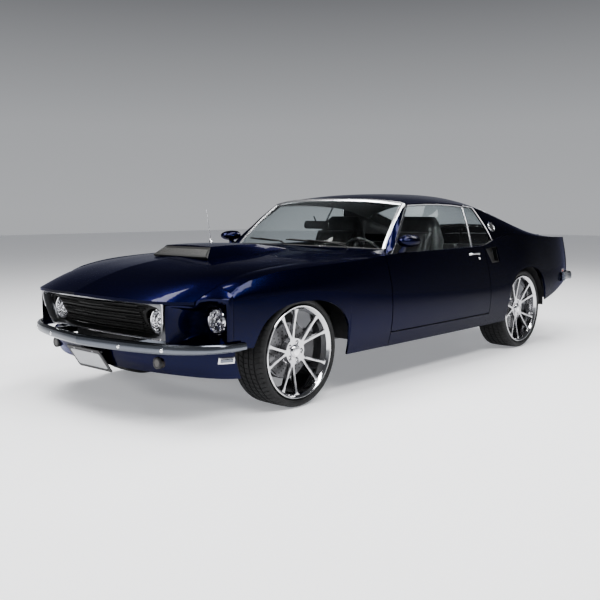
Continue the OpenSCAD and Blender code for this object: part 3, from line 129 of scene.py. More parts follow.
def add_node(tree, kind, **values):
    node = tree.nodes.new(kind)
    for key, value in values.items():
        if key in node.inputs:
            node.inputs[key].default_value = value
        else:
            setattr(node, key, value)
    return node


def object_coords(tree):
    return add_node(tree, "ShaderNodeTexCoord").outputs["Object"]


def add_bump(tree, shader, height, strength, distance=0.001):
    bump = add_node(tree, "ShaderNodeBump", Strength=strength, Distance=distance)
    tree.links.new(height, bump.inputs["Height"])
    tree.links.new(bump.outputs["Normal"], shader.inputs["Normal"])


def noise(tree, vector, scale, detail=3.0):
    node = add_node(tree, "ShaderNodeTexNoise", Scale=scale, Detail=detail, Roughness=0.5)
    tree.links.new(vector, node.inputs["Vector"])
    return node.outputs["Fac"]


def cells(tree, vector, scale, output="Distance"):
    node = add_node(tree, "ShaderNodeTexVoronoi", Scale=scale)
    tree.links.new(vector, node.inputs["Vector"])
    return node.outputs[output]


def ramp_colour(tree, factor, stops, socket):
    ramp = add_node(tree, "ShaderNodeValToRGB")
    for i, (at, colour) in enumerate(stops):
        stop = ramp.color_ramp.elements.new(at) if i > 1 else ramp.color_ramp.elements[i]
        stop.position, stop.color = at, (*colour, 1)
    tree.links.new(factor, ramp.inputs["Fac"])
    tree.links.new(ramp.outputs["Color"], socket)


def ramp_value(tree, factor, low, high, socket):
    spread = add_node(tree, "ShaderNodeMapRange")
    spread.inputs["To Min"].default_value = low
    spread.inputs["To Max"].default_value = high
    tree.links.new(factor, spread.inputs["Value"])
    tree.links.new(spread.outputs["Result"], socket)


def floor_material():
    mat, tree, shader = new_material("floor_pale", Base_Color=(0.84, 0.84, 0.85, 1), Roughness=0.55,
                                     Emission_Color=(0.93, 0.95, 1.0, 1), Emission_Strength=0.30)
    ramp_value(tree, noise(tree, object_coords(tree), 3.0), 0.5, 0.6, shader.inputs["Roughness"])
    return mat


def paint_material():
    mat, tree, shader = new_material("navy_paint", Metallic=0.95, Roughness=0.27, Coat_Weight=0.20,
                                     Specular_Tint=(0.10, 0.13, 0.42, 1),
                                     Coat_Roughness=0.02, Coat_IOR=1.4)
    vector = object_coords(tree)
    flakes = cells(tree, vector, 2600.0, "Color")
    ramp_colour(tree, flakes, [(0.0, (0.0003, 0.0006, 0.0045)), (1.0, (0.0012, 0.0022, 0.024))],
                shader.inputs["Base Color"])
    add_bump(tree, shader, flakes, 0.12, 0.0002)
    return mat


def metal_material(name, colour, roughness, wear=0.05, scale=90.0, bump=0.02):
    mat, tree, shader = new_material(name, Base_Color=(*colour, 1), Metallic=1.0)
    vector = object_coords(tree)
    ramp_value(tree, noise(tree, vector, scale, 5.0), roughness, roughness + wear, shader.inputs["Roughness"])
    add_bump(tree, shader, noise(tree, vector, scale * 4, 2.0), bump, 0.0005)
    return mat


def cast_material(name, colour, roughness=0.65):
    mat, tree, shader = new_material(name, Metallic=0.6, Roughness=roughness)
    vector = object_coords(tree)
    dark = tuple(c * 0.6 for c in colour)
    ramp_colour(tree, noise(tree, vector, 25.0, 6.0), [(0.3, dark), (0.7, colour)],
                shader.inputs["Base Color"])
    add_bump(tree, shader, noise(tree, vector, 400.0, 4.0), 0.25, 0.001)
    return mat


def plastic_material(name, colour, roughness, grain=900.0, bump=0.15, coat=0.0):
    mat, tree, shader = new_material(name, Base_Color=(*colour, 1), Coat_Weight=coat, Coat_Roughness=0.08,
                                     Specular_IOR_Level=0.25 if max(colour) < 0.02 else 0.5)
    vector = object_coords(tree)
    grains = cells(tree, vector, grain)
    ramp_value(tree, noise(tree, vector, 30.0), roughness - 0.05, roughness + 0.05,
               shader.inputs["Roughness"])
    add_bump(tree, shader, grains, bump, 0.0006)
    return mat


def tyre_material():
    mat, tree, shader = new_material("tyre_rubber", Roughness=0.62, Specular_IOR_Level=0.22)
    vector = object_coords(tree)
    ramp_colour(tree, noise(tree, vector, 12.0, 5.0),
                [(0.3, (0.0035, 0.0035, 0.004)), (0.75, (0.010, 0.010, 0.0105))],
                shader.inputs["Base Color"])
    ramp_value(tree, noise(tree, vector, 40.0, 4.0), 0.5, 0.72, shader.inputs["Roughness"])
    add_bump(tree, shader, noise(tree, vector, 700.0, 3.0), 0.2, 0.0006)
    return mat


def leather_material():
    mat, tree, shader = new_material("black_hide", Sheen_Weight=0.15)
    vector = object_coords(tree)
    grains = cells(tree, vector, 520.0)
    ramp_colour(tree, noise(tree, vector, 20.0, 4.0),
                [(0.3, (0.010, 0.010, 0.011)), (0.8, (0.028, 0.027, 0.027))],
                shader.inputs["Base Color"])
    ramp_value(tree, noise(tree, vector, 60.0, 4.0), 0.36, 0.52, shader.inputs["Roughness"])
    add_bump(tree, shader, grains, 0.35, 0.0012)
    return mat


def glass_material(name, tint, roughness=0.0, ior=1.45):
    mat, tree, shader = new_material(name, Base_Color=(*tint, 1), IOR=ior, Transmission_Weight=1.0)
    ramp_value(tree, noise(tree, object_coords(tree), 2.0), roughness, roughness + 0.012,
               shader.inputs["Roughness"])
    return mat


def lens_material(name, colour, ribs=260.0, coat=1.0):
    mat, tree, shader = new_material(name, Base_Color=(*colour, 1), Roughness=0.12, IOR=1.49,
                                     Transmission_Weight=0.2, Coat_Weight=coat, Coat_Roughness=0.03)
    vector = object_coords(tree)
    wave = add_node(tree, "ShaderNodeTexWave", Scale=ribs)
    tree.links.new(vector, wave.inputs["Vector"])
    add_bump(tree, shader, wave.outputs["Fac"], 0.35, 0.001)
    return mat


def mesh_material():
    """Black wire cloth: small dark holes with grey wires between them."""
    mat, tree, shader = new_material("wire_cloth", Roughness=0.45, Metallic=0.3)
    vector = object_coords(tree)
    grains = cells(tree, vector, 260.0)
    ramp_colour(tree, grains, [(0.35, (0.003, 0.003, 0.003)), (0.62, (0.022, 0.022, 0.020))],
                shader.inputs["Base Color"])
    add_bump(tree, shader, grains, 0.6, 0.002)
    return mat


def ribbed_glass_material():
    """Clear pressed glass with upright flutes."""
    mat, tree, shader = new_material("ribbed_glass", Base_Color=(0.98, 0.99, 1.0, 1), Roughness=0.02,
                                     IOR=1.45,
                                     Transmission_Weight=1.0)
    wave = add_node(tree, "ShaderNodeTexWave", Scale=28.0, bands_direction="Y")
    tree.links.new(object_coords(tree), wave.inputs["Vector"])
    add_bump(tree, shader, wave.outputs["Fac"], 0.25, 0.0015)
    return mat


def carpet_material():
    mat, tree, shader = new_material("black_carpet", Roughness=0.95, Sheen_Weight=0.4)
    vector = object_coords(tree)
    ramp_colour(tree, noise(tree, vector, 220.0, 4.0),
                [(0.3, (0.006, 0.006, 0.006)), (0.8, (0.022, 0.022, 0.023))],
                shader.inputs["Base Color"])
    add_bump(tree, shader, noise(tree, vector, 900.0, 4.0), 0.8, 0.003)
    return mat


MATERIALS = {
    "wire": mesh_material(),
    "carpet": carpet_material(),
    "plate": plastic_material("plate_pale", (0.34, 0.35, 0.36), 0.4, 200.0, 0.02),
    "lens": ribbed_glass_material(),
    "mirror": metal_material("mirror_glass", (0.86, 0.88, 0.90), 0.02, 0.01),
    "paint": paint_material(),
    "chassis": cast_material("chassis_black", (0.02, 0.02, 0.022), 0.55),
    "glass": glass_material("window_glass", (0.80, 0.85, 0.86), 0.0, 1.2),
    "chrome": metal_material("chrome_bright", (0.80, 0.80, 0.82), 0.05, 0.03, 40.0, 0.003),
    "satin": metal_material("satin_metal", (0.15, 0.153, 0.16), 0.30, 0.06, 30.0, 0.004),
    "bright": metal_material("bright_trim", (0.85, 0.85, 0.87), 0.24, 0.05, 30.0, 0.003),
    # Bumpers and front marker lenses: chrome with a dark base colour, a painted dark reflection in place of the bright
    # chrome's mirrored surroundings
    "bumper": metal_material("bumper_chrome_painted_dark", (0.11, 0.12, 0.14), 0.13, 0.04, 12.0, 0.002),
    "grille_black": plastic_material("grille_black", (0.003, 0.003, 0.003), 0.72),
    "lamp_clear": glass_material("lamp_glass", (0.97, 0.98, 1.0)),
    "lamp_amber": lens_material("amber_lens", (0.006, 0.003, 0.001), 260.0, 0.0),
    "lamp_red": lens_material("red_lens", (0.20, 0.002, 0.003)),
    "cabin": leather_material(),
    "trim": plastic_material("black_trim", (0.016, 0.016, 0.017), 0.5),
    "rubber": plastic_material("window_rubber", (0.008, 0.008, 0.008), 0.6, 1500.0, 0.08),
    "iron": cast_material("cast_iron", (0.09, 0.09, 0.095)),
    "steel": metal_material("bare_steel", (0.30, 0.30, 0.31), 0.32, 0.15),
    "disc": metal_material("disc_steel", (0.13, 0.13, 0.135), 0.34, 0.1),
    "rim": metal_material("rim_chrome", (0.56, 0.56, 0.575), 0.08, 0.04, 30.0, 0.004),
    "tyre": tyre_material(),
    "reflector": metal_material("reflector", (0.9, 0.9, 0.92), 0.05, 0.02),
}


# Shaping helpers
def set_material(obj, key):
    obj.data.materials.clear()
    obj.data.materials.append(MATERIALS[key])


def link_mesh(name, mesh):
    obj = bpy.data.objects.new(name, mesh)
    bpy.context.scene.collection.objects.link(obj)
    return obj


def edit_mesh(mesh, change):
    bm = bmesh.new()
    bm.from_mesh(mesh)
    change(bm)
    bm.to_mesh(mesh)
    bm.free()


def mesh_from(name, points, faces):
    mesh = bpy.data.meshes.new(name)
    mesh.from_pydata([tuple(p) for p in points], [], faces)

    def clean(bm):
        bmesh.ops.remove_doubles(bm, verts=bm.verts, dist=0.000005)
        bmesh.ops.recalc_face_normals(bm, faces=bm.faces)

    edit_mesh(mesh, clean)
    return mesh


def welded_mesh(node, name, bend=38.0):
    """A CAD node's mesh with its points joined and the triangles that bend less than this paired into quads."""
    mesh = NODES[node].data.copy()
    mesh.name = name
    mesh.materials.clear()

    def weld(bm):
        bmesh.ops.remove_doubles(bm, verts=bm.verts, dist=0.00002)
        bmesh.ops.join_triangles(bm, faces=bm.faces, angle_face_threshold=math.radians(bend),
                                 angle_shape_threshold=math.radians(60), cmp_seam=False)

    edit_mesh(mesh, weld)
    return mesh


def turns(edge, angle):
    """Whether an edge between two faces bends by more than the angle, in radians."""
    return len(edge.link_faces) == 2 and edge.calc_face_angle(0.0) > angle


def folded(edge, fold):
    return fold is not None and fold(edge.verts[0].co, edge.verts[1].co)


def crease_sharp(obj, angle, fold):
    """Creases the open, sharp and folded edges, so that only the soft ones round off."""
    def crease(bm):
        layer = bm.edges.layers.float.get("crease_edge") or bm.edges.layers.float.new("crease_edge")
        for edge in bm.edges:
            if len(edge.link_faces) != 2 or turns(edge, angle) or folded(edge, fold):
                edge[layer] = 1.0

    edit_mesh(obj.data, crease)


def shade(obj, angle=35, fold=None):
    """Smooth shading that breaks at edges over the angle, in degrees, and at folds."""
    obj.data.shade_smooth()

    def mark(bm):
        for edge in bm.edges:
            edge.smooth = not (turns(edge, math.radians(angle)) or folded(edge, fold))

    edit_mesh(obj.data, mark)


def bake_modifiers(obj):
    graph = bpy.context.evaluated_depsgraph_get()
    mesh = bpy.data.meshes.new_from_object(obj.evaluated_get(graph))
    obj.modifiers.clear()
    obj.data = mesh


def dress(obj, body, key):
    set_material(obj, key)
    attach(obj, body)
    return obj


SKINS = {}


def smooth_skin(node, body, key="paint", levels=2, angle=32, fold=None, soft=35):
    """A rounded surface that stands for a faceted CAD panel; fold(a, b) says which soft edges stay crisp."""
    obj = link_mesh(node + "_skin", welded_mesh(node, node + "_skin"))
    crease_sharp(obj, math.radians(angle), fold)
    mod = obj.modifiers.new("round", "SUBSURF")
    mod.levels = mod.render_levels = levels
    bake_modifiers(obj)
    shade(obj, soft, fold)
    dress(obj, body, key)
    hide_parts(node)
    SKINS[node] = obj
    return obj


def bevelled_skin(node, body, key, width=0.0012, angle=30, bore=None):
    """A CAD node's shape with its hard edges broken; bore is an axle's (x, z) to widen a hole around."""
    obj = link_mesh(node + "_skin", welded_mesh(node, node + "_skin", 0.5))
    if bore:
        for vert in obj.data.vertices:
            dx, dz = vert.co.x - bore[0], vert.co.z - bore[1]
            reach = math.hypot(dx, dz)
            if BORE_FROM < reach < BORE_TO:
                vert.co.x = bore[0] + dx * BORE_SHOWN / reach
                vert.co.z = bore[1] + dz * BORE_SHOWN / reach
    mod = obj.modifiers.new("edges", "BEVEL")
    mod.width, mod.segments, mod.limit_method = width, 2, "ANGLE"
    mod.angle_limit = math.radians(angle)
    mod.use_clamp_overlap = True
    bake_modifiers(obj)
    shade(obj, 42)
    dress(obj, body, key)
    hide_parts(node)
    SKINS[node] = obj
    return obj


def surface(*nodes):
    """A ray tree over the shown skins of the nodes."""
    points, faces = [], []
    for node in nodes:
        mesh = SKINS[node].data if node in SKINS else NODES[node].data
        start = len(points)
        points += [v.co.copy() for v in mesh.vertices]
        faces += [[start + i for i in p.vertices] for p in mesh.polygons]
    return BVHTree.FromPolygons(points, faces)


def touch(tree, origin, direction):
    """Where a ray meets a surface, with the normal on the ray's side."""
    direction = Vector(direction).normalized()
    place, normal, _, _ = tree.ray_cast(Vector(origin), direction)
    if place is None:
        return None
    return place, (-normal if normal.dot(direction) > 0 else normal)


def join_parts(*parts):
    points, faces = [], []
    for more_points, more_faces in parts:
        start = len(points)
        points += list(more_points)
        faces += [[start + i for i in f] for f in more_faces]
    return points, faces


def piece(name, part, body, key, angle=40):
    obj = link_mesh(name, mesh_from(name, *part))
    shade(obj, angle)
    return dress(obj, body, key)


def sweep(rows, closed=False):
    """Joins equal rings of points into a tube, capped unless it closes on itself."""
    count, size = len(rows), len(rows[0])
    points = [p for row in rows for p in row]
    faces = []
    for i in range(count if closed else count - 1):
        j = (i + 1) % count
        for k in range(size):
            m = (k + 1) % size
            faces.append((i * size + k, i * size + m, j * size + m, j * size + k))
    if not closed:
        faces.append(tuple(range(size))[::-1])
        faces.append(tuple((count - 1) * size + k for k in range(size)))
    return points, faces


def ribbon(path, profile, closed=False):
    """Sweeps a profile of (across, out) values along a path of (place, normal) pairs."""
    count = len(path)
    rows = []
    for i, (place, normal) in enumerate(path):
        before = path[i - 1][0] if closed or i else None
        after = path[(i + 1) % count][0] if closed or i < count - 1 else None
        arrive = (place - before).normalized() if before is not None else (after - place).normalized()
        leave = (after - place).normalized() if after is not None else arrive
        side = arrive.cross(normal).normalized()
        across = (side + leave.cross(normal).normalized()).normalized()
        reach = 1.0 / max(0.6, across.dot(side))
        rows.append([place + across * (s * reach) + normal * n for s, n in profile])
    return sweep(rows, closed)


def rim_loops(mesh, facing):
    """The closed edges of a pane's face that looks along facing, longest first, as (place, normal) lists.

    Each one runs so that across points away from its middle.
    """
    facing = Vector(facing).normalized()
    bm = bmesh.new()
    bm.from_mesh(mesh)
    bm.normal_update()
    links = {}
    for edge in bm.edges:
        if len(edge.link_faces) != 2 or edge.calc_face_angle(0.0) < math.radians(50):
            continue
        face = max(edge.link_faces, key=lambda f: f.normal.dot(facing))
        if face.normal.dot(facing) < 0.42:
            continue
        for a, b in (edge.verts, reversed(edge.verts)):
            links.setdefault(a.index, []).append((b.index, face.normal.copy()))
    places = [v.co.copy() for v in bm.verts]
    bm.free()
    loops, used = [], set()
    for start in links:
        if start in used:
            continue
        loop, at = [], start
        while at is not None and at not in used:
            used.add(at)
            normal = sum((n for _, n in links[at]), Vector()).normalized()
            loop.append((places[at], normal))
            at = next((b for b, _ in links[at] if b not in used), None)
        if len(loop) > 7:
            loops.append(outward(loop))
    return sorted(loops, key=path_length, reverse=True)


def path_length(path):
    return sum((b[0] - a[0]).length for a, b in zip(path, path[1:]))


def outward(loop):
    middle = sum((p for p, _ in loop), Vector()) / len(loop)
    turn = 0.0
    for i, (place, normal) in enumerate(loop):
        step = loop[(i + 1) % len(loop)][0] - place
        turn += step.cross(normal).dot(place - middle)
    return loop if turn > 0 else loop[::-1]


def sides_of(loop, count=4, apart=0.06):
    """Splits a closed path at its sharpest corners."""
    size = len(loop)
    bends = []
    for i in range(size):
        a, b, c = loop[i - 1][0], loop[i][0], loop[(i + 1) % size][0]
        bends.append(((b - a).angle(c - b, 0.0), i))
    picked = []
    for _, i in sorted(bends, reverse=True):
        if all((loop[i][0] - loop[j][0]).length > apart for j in picked):
            picked.append(i)
        if len(picked) == count:
            break
    picked.sort()
    parts = []
    for a, b in zip(picked, picked[1:] + [picked[0] + size]):
        parts.append([loop[k % size] for k in range(a, b + 1)])
    return parts


def mean_place(path):
    return sum((p for p, _ in path), Vector()) / len(path)


def evenly(path, step):
    """The same path with points at even distances."""
    total = path_length(path)
    count = max(2, int(total / step) + 1)
    out, k, gone = [], 0, 0.0
    for i in range(count):
        want = total * i / (count - 1)
        while k < len(path) - 2 and gone + (path[k + 1][0] - path[k][0]).length < want:
            gone += (path[k + 1][0] - path[k][0]).length
            k += 1
        length = (path[k + 1][0] - path[k][0]).length
        t = min(1.0, (want - gone) / length) if length > 1e-9 else 0.0
        out.append((path[k][0].lerp(path[k + 1][0], t), path[k][1].lerp(path[k + 1][1], t).normalized()))
    return out


def facing_matrix(centre, axis):
    """A frame whose z runs along axis from centre."""
    return Matrix.Translation(centre) @ Vector(axis).to_track_quat("Z", "Y").to_matrix().to_4x4()


def lathe(profile, centre, axis, segments=40):
    """Turns a profile of (radius, along) values about an axis."""
    frame_of = facing_matrix(centre, axis)
    points, faces = [], []
    size = len(profile)
    for i in range(segments):
        a = math.tau * i / segments
        points += [frame_of @ Vector((r * math.cos(a), r * math.sin(a), h)) for r, h in profile]
    for i in range(segments):
        j = (i + 1) % segments
        for k in range(size - 1):
            faces.append((i * size + k, j * size + k, j * size + k + 1, i * size + k + 1))
    return points, faces


def rounded_outline(wide, high, radius, steps=5):
    out = []
    for cx, cy, start in ((1, 1, 0), (-1, 1, 90), (-1, -1, 180), (1, -1, 270)):
        for k in range(steps + 1):
            a = math.radians(start + 90 * k / steps)
            out.append((cx * (wide / 2 - radius) + radius * math.cos(a),
                        cy * (high / 2 - radius) + radius * math.sin(a)))
    return out


def slab(outline, thick, placing, edge=0.001):
    """A thin plate with broken edges, drawn in the xy plane of placing."""
    levels = [(1.0, 0.0), (1.0, thick - edge), (0.0, thick)]
    rows = []
    for keep, z in levels:
        row = []
        for x, y in outline:
            length = math.hypot(x, y)
            pull = 0.0 if keep else edge / length
            row.append(placing @ Vector((x * (1 - pull), y * (1 - pull), z)))
        rows.append(row)
    return sweep(rows)


def tube(places, radius, segments=10, tip=1.0):
    """A round bar along places, shrinking to tip times its radius."""
    rows = []
    count = len(places)
    for i, place in enumerate(places):
        ahead = places[min(i + 1, count - 1)] - places[max(i - 1, 0)]
        turn = ahead.to_track_quat("Z", "Y")
        r = radius * (1 + (tip - 1) * i / (count - 1))
        rows.append([place + turn @ Vector((r * math.cos(math.tau * k / segments),
                                            r * math.sin(math.tau * k / segments), 0))
                     for k in range(segments)])
    return sweep(rows)


def shell_faces(columns, rows):
    """Faces of a closed sheet: a grid of points above, the same grid below, and the border between."""
    wide, size = columns + 1, (columns + 1) * (rows + 1)
    faces = []
    for j in range(rows):
        for i in range(columns):
            a = j * wide + i
            quad = (a, a + 1, a + wide + 1, a + wide)
            faces += [quad, tuple(size + k for k in reversed(quad))]
    edge = list(range(wide)) + [j * wide + columns for j in range(1, rows + 1)]
    edge += [rows * wide + i for i in range(columns - 1, -1, -1)]
    edge += [j * wide for j in range(rows - 1, 0, -1)]
    faces += [(b, a, size + a, size + b) for a, b in zip(edge, edge[1:] + edge[:1])]
    return faces


def conforming(tree, origin_of, direction, columns, rows, lift, depth=0.003):
    """A raised patch that follows a surface; origin_of(u, v) gives each ray's start, u and v from 0 to 1."""
    outer, inner = [], []
    for j in range(rows + 1):
        for i in range(columns + 1):
            hit = touch(tree, origin_of(i / columns, j / rows), direction)
            if hit is None:
                return None
            place, normal = hit
            border = i in (0, columns) or j in (0, rows)
            outer.append(place + normal * (lift * (0.45 if border else 1.0)))
            inner.append(place - normal * depth)
    return outer + inner, shell_faces(columns, rows)


def lining(node, name, keep, offset, body, key, angle=40):
    """A copy of the faces of a CAD node that keep(centre, normal) accepts, moved out by offset."""
    bm = bmesh.new()
    bm.from_mesh(NODES[node].data)
    bmesh.ops.remove_doubles(bm, verts=bm.verts, dist=0.00002)
    bm.normal_update()
    drop = [f for f in bm.faces if not keep(f.calc_center_median(), f.normal)]
    bmesh.ops.delete(bm, geom=drop, context="FACES")
    bm.normal_update()
    for vert in bm.verts:
        vert.co += vert.normal * offset
    mesh = bpy.data.meshes.new(name)
    bm.to_mesh(mesh)
    bm.free()
    mesh.materials.clear()
    obj = link_mesh(name, mesh)
    shade(obj, angle)
    return dress(obj, body, key)


# CAD nodes and skins
BODY_SKINS = ["front_fender_left", "front_fender_right", "lamp_housings", "rear_quarter_left",
              "rear_quarter_right", "roof", "sail_panels", "cowl", "front_valance"]
FLAT_NODES = {
    "floor_pan": "chassis", "inner_panels": "chassis", "grille": "grille_black", "turn_lamps": "lamp_amber",
    "tail_panel": "paint", "rear_valance": "paint", "tail_lamps": "lamp_red", "engine": "iron",
    "driveline": "steel", "front_suspension": "iron", "exhaust": "steel", "fuel_tank": "steel",
    "hood_hinges": "steel", "trunk_hinges": "steel", "knuckle_left": "iron", "knuckle_right": "iron",
    "headlamps": "reflector", "steering_wheel": "trim", "dashboard": "trim", "side_scoops": "grille_black",
}


def on_middle(a, b):
    return abs(a.y) < 0.001 and abs(b.y) < 0.001


def dress_cad():
    for node, key in FLAT_NODES.items():
        set_material(NODES[node], key)
    for node in BODY_SKINS:
        smooth_skin(node, "body")
    smooth_skin("grille_surround", "body", "satin")
    smooth_skin("front_bumper", "body", "bumper", angle=18, fold=on_middle, soft=16)
    smooth_skin("rear_bumper", "body", "bumper", angle=18, soft=16)
    smooth_skin("hood", "hood", fold=on_middle, soft=26)
    smooth_skin("hood_scoop", "hood")
    smooth_skin("trunk_lid", "trunk_lid")
    for node in ("windshield", "rear_window", "quarter_glass"):
        smooth_skin(node, "body", "glass")
    for node in ("tail_panel", "rear_valance"):
        bevelled_skin(node, "body", "paint")
    for node in ("steering_wheel", "dashboard"):
        smooth_skin(node, "body", "trim", levels=1)
    for side, _ in SIDES:
        smooth_skin(f"door_{side}", f"door_{side}")
        smooth_skin(f"mirror_{side}", f"door_{side}")
        smooth_skin(f"door_glass_{side}", f"door_{side}", "glass")
        for end, x in (("front", FRONT_AXLE), ("rear", REAR_AXLE)):
            bevelled_skin(f"rim_{end}_{side}", f"wheel_{end}_{side}", "rim", bore=(x, AXLE_H))


# Wheels
TYRE_HALF = (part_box("tyre_front_left")[1][1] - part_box("tyre_front_left")[0][1]) / 2
BLOCKS = 66


def tyre_profile(half):
    """Radius and width pairs from the inner bead over the tread to the outer bead; the flag marks tread ribs."""
    wall = [(0.2745, 0.090, 0), (0.2790, 0.101, 0), (0.2850, 0.1075, 0), (0.2868, 0.1075, 0),
            (0.2880, 0.1090, 0),
            (0.2960, 0.1118, 0), (0.3040, 0.1112, 0), (0.3062, 0.1094, 0), (0.3090, 0.1096, 0), (0.3160,
                    0.1040, 1),
            (0.3205, 0.0985, 1), (0.3234, 0.0900, 1)]
    wall = [(r, w / 0.1118 * half, f) for r, w, f in wall]
    ribs = []
    for middle in (0.062, 0.021):
        ribs += [(0.3250 - middle * middle * 0.12, middle + 0.0050, 1), (0.3185, middle + 0.0040, 0),
                 (0.3185, middle - 0.0040, 0), (0.3254 - middle * middle * 0.12, middle - 0.0050, 1)]
    side = wall + ribs
    return [(r, -w, f) for r, w, f in side] + [(r, w, f) for r, w, f in reversed(side)]


def make_tyre(end, side, sign):
    node = f"tyre_{end}_{side}"
    low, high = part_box(node)
    half = (high[1] - low[1]) / 2 - 0.0006
    centre = Vector(((low[0] + high[0]) / 2, (low[1] + high[1]) / 2, AXLE_H))
    profile = tyre_profile(half)
    points, faces = [], []
    angles = [(block + share, cut) for block in range(BLOCKS)
              for share, cut in ((0.0, 0.0), (0.80, 0.0), (0.86, 1.0), (0.94, 1.0))]
    for share, cut in angles:
        for k, (r, w, rib) in enumerate(profile):
            a = math.tau * (share + 0.5 * (k % 16 > 11)) / BLOCKS
            depth = 0.0035 * cut * rib
            points.append(centre + Vector(((r - depth) * math.cos(a), w, (r - depth) * math.sin(a))))
    count, size = len(angles), len(profile)
    for i in range(count):
        j = (i + 1) % count
        for k in range(size - 1):
            faces.append((i * size + k, i * size + k + 1, j * size + k + 1, j * size + k))
        faces.append((i * size + size - 1, i * size, j * size, j * size + size - 1))
    obj = piece(f"tyre_tread_{end}_{side}", (points, faces), f"wheel_{end}_{side}", "tyre", 30)
    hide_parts(node)


def make_rotor(end, side, sign):
    """The face of a brake disc, with dark dots where it is drilled; their black is painted shade."""
    face = WHEEL_Y + TYRE_HALF - 0.0998
    centre = Vector((FRONT_AXLE if end == "front" else REAR_AXLE, sign * face, AXLE_H))
    profile = [(0.076, 0.0), (0.076, 0.0008), (0.1640, 0.0008), (0.1645, 0.0)]
    piece(f"disc_face_{end}_{side}", lathe(profile, centre, (0, sign, 0), 72), f"wheel_{end}_{side}", "disc")
    # Each dark dot is painted shade standing in for a drilled hole
    holes = []
    for ring, (radius, count) in enumerate(((0.094, 20), (0.112, 20), (0.130, 20), (0.148, 20))):
        for i in range(count):
            a = math.tau * (i + ring * 0.3) / count
            spot = centre + Vector((radius * math.cos(a), sign * 0.0009, radius * math.sin(a)))
            holes.append(lathe([(0.0, 0.0001), (0.0046, 0.0001), (0.0046, 0.0004), (0.0052, 0.0004)], spot,
                               (0, sign, 0), 8))
    piece(f"disc_hole_shades_{end}_{side}", join_parts(*holes), f"wheel_{end}_{side}", "rubber")


def make_hub(end, side, sign):
    """A plain centre cap and the valve."""
    x = FRONT_AXLE if end == "front" else REAR_AXLE
    face = WHEEL_Y + TYRE_HALF
    cap = Vector((x, sign * (face - 0.033), AXLE_H))
    piece(f"centre_cap_{end}_{side}",
          lathe([(0.0, 0.0018), (0.020, 0.0012), (0.024, 0.0002), (0.0245, -0.003)], cap, (0, sign, 0), 32),
          f"wheel_{end}_{side}", "chrome")
    valve = Vector((x + 0.232, sign * (face - 0.040), AXLE_H + 0.02))
    piece(f"valve_{end}_{side}", lathe([(0.0, 0.016), (0.0035, 0.015), (0.0035, 0.006), (0.0045, 0.005),
                                        (0.0045, -0.006)],
                                       valve, (-0.35, sign, 0), 12), f"wheel_{end}_{side}", "trim")


def make_wheels():
    for side, sign in SIDES:
        for end in ("front", "rear"):
            make_tyre(end, side, sign)
            make_rotor(end, side, sign)
            make_hub(end, side, sign)


# Bright work around the glass
TRIM = [(-0.016, -0.001), (-0.016, 0.0030), (-0.010, 0.0065), (0.002, 0.0085), (0.012, 0.008),
        (0.019, 0.005), (0.020, -0.001)]
THIN = [(-0.004, -0.002), (-0.004, 0.002), (0.0, 0.004), (0.007, 0.004), (0.010, 0.001), (0.010, -0.002)]
SIDE_TRIM = [(0.004, -0.001), (0.004, 0.009), (0.006, 0.0115), (0.011, 0.0115), (0.013, 0.009),
             (0.013, -0.001)]
BELT = [(-0.006, 0.0005), (-0.006, 0.004), (0.0, 0.0065), (0.009, 0.006), (0.012, 0.0005)]


def window_trim():
    for node, facing in (("windshield", (0.7, 0, 0.7)), ("rear_window", (-0.5, 0, 0.85))):
        loop = rim_loops(SKINS[node].data, facing)[0]
        parts = sides_of(loop)
        low = min(parts, key=lambda p: mean_place(p).z)
        rest = [p for p in parts if p is not low]
        piece(f"{node}_trim", join_parts(*[ribbon(evenly(p, 0.02), TRIM) for p in rest]), "body", "bright")
        piece(f"{node}_seal", ribbon(evenly(low, 0.02), THIN), "body", "rubber")


def side_trim(side, sign):
    facing = (0, sign, 0.25)
    door_parts = sides_of(rim_loops(SKINS[f"door_glass_{side}"].data, facing)[0])
    panes = [loop for loop in rim_loops(SKINS["quarter_glass"].data, facing) if mean_place(loop).y * sign > 0]
    quarter_parts = sides_of(panes[0])
    door_low = min(door_parts, key=lambda p: mean_place(p).z)
    door_rear = min((p for p in door_parts if p is not door_low), key=lambda p: mean_place(p).x)
    quarter_front = max(quarter_parts, key=lambda p: mean_place(p).x)
    shown = [p for p in door_parts if p is not door_low and p is not door_rear]
    shown += [p for p in quarter_parts if p is not quarter_front]
    piece(f"side_trim_{side}", join_parts(*[ribbon(evenly(p, 0.02), SIDE_TRIM) for p in shown]),
          "body", "chrome")
    post = [(-0.002, -0.001), (-0.002, 0.006), (0.002, 0.008), (0.010, 0.008), (0.013, 0.006),
            (0.013, -0.001)]
    piece(f"quarter_post_{side}", ribbon(evenly(quarter_front, 0.02), post), "body", "bright")
    piece(f"belt_strip_{side}", ribbon(evenly(door_low, 0.02), BELT), f"door_{side}", "rubber")


# Front
LAMPS = [(2.175, 0.481), (2.175, -0.481), (1.957, 0.703), (1.957, -0.703)]
LAMP_Z = 0.548
LAMP_R = 0.073
# Sections of a fine bar and of a rounded bead, as (across, out) values
BAR = [(-0.0016, -0.001), (-0.0013, 0.009), (0.0013, 0.009), (0.0016, -0.001)]
BEAD = [(-0.0026, -0.002), (-0.0026, 0.0012), (-0.0011, 0.0026), (0.0011, 0.0026), (0.0026, 0.0012),
        (0.0026, -0.002)]


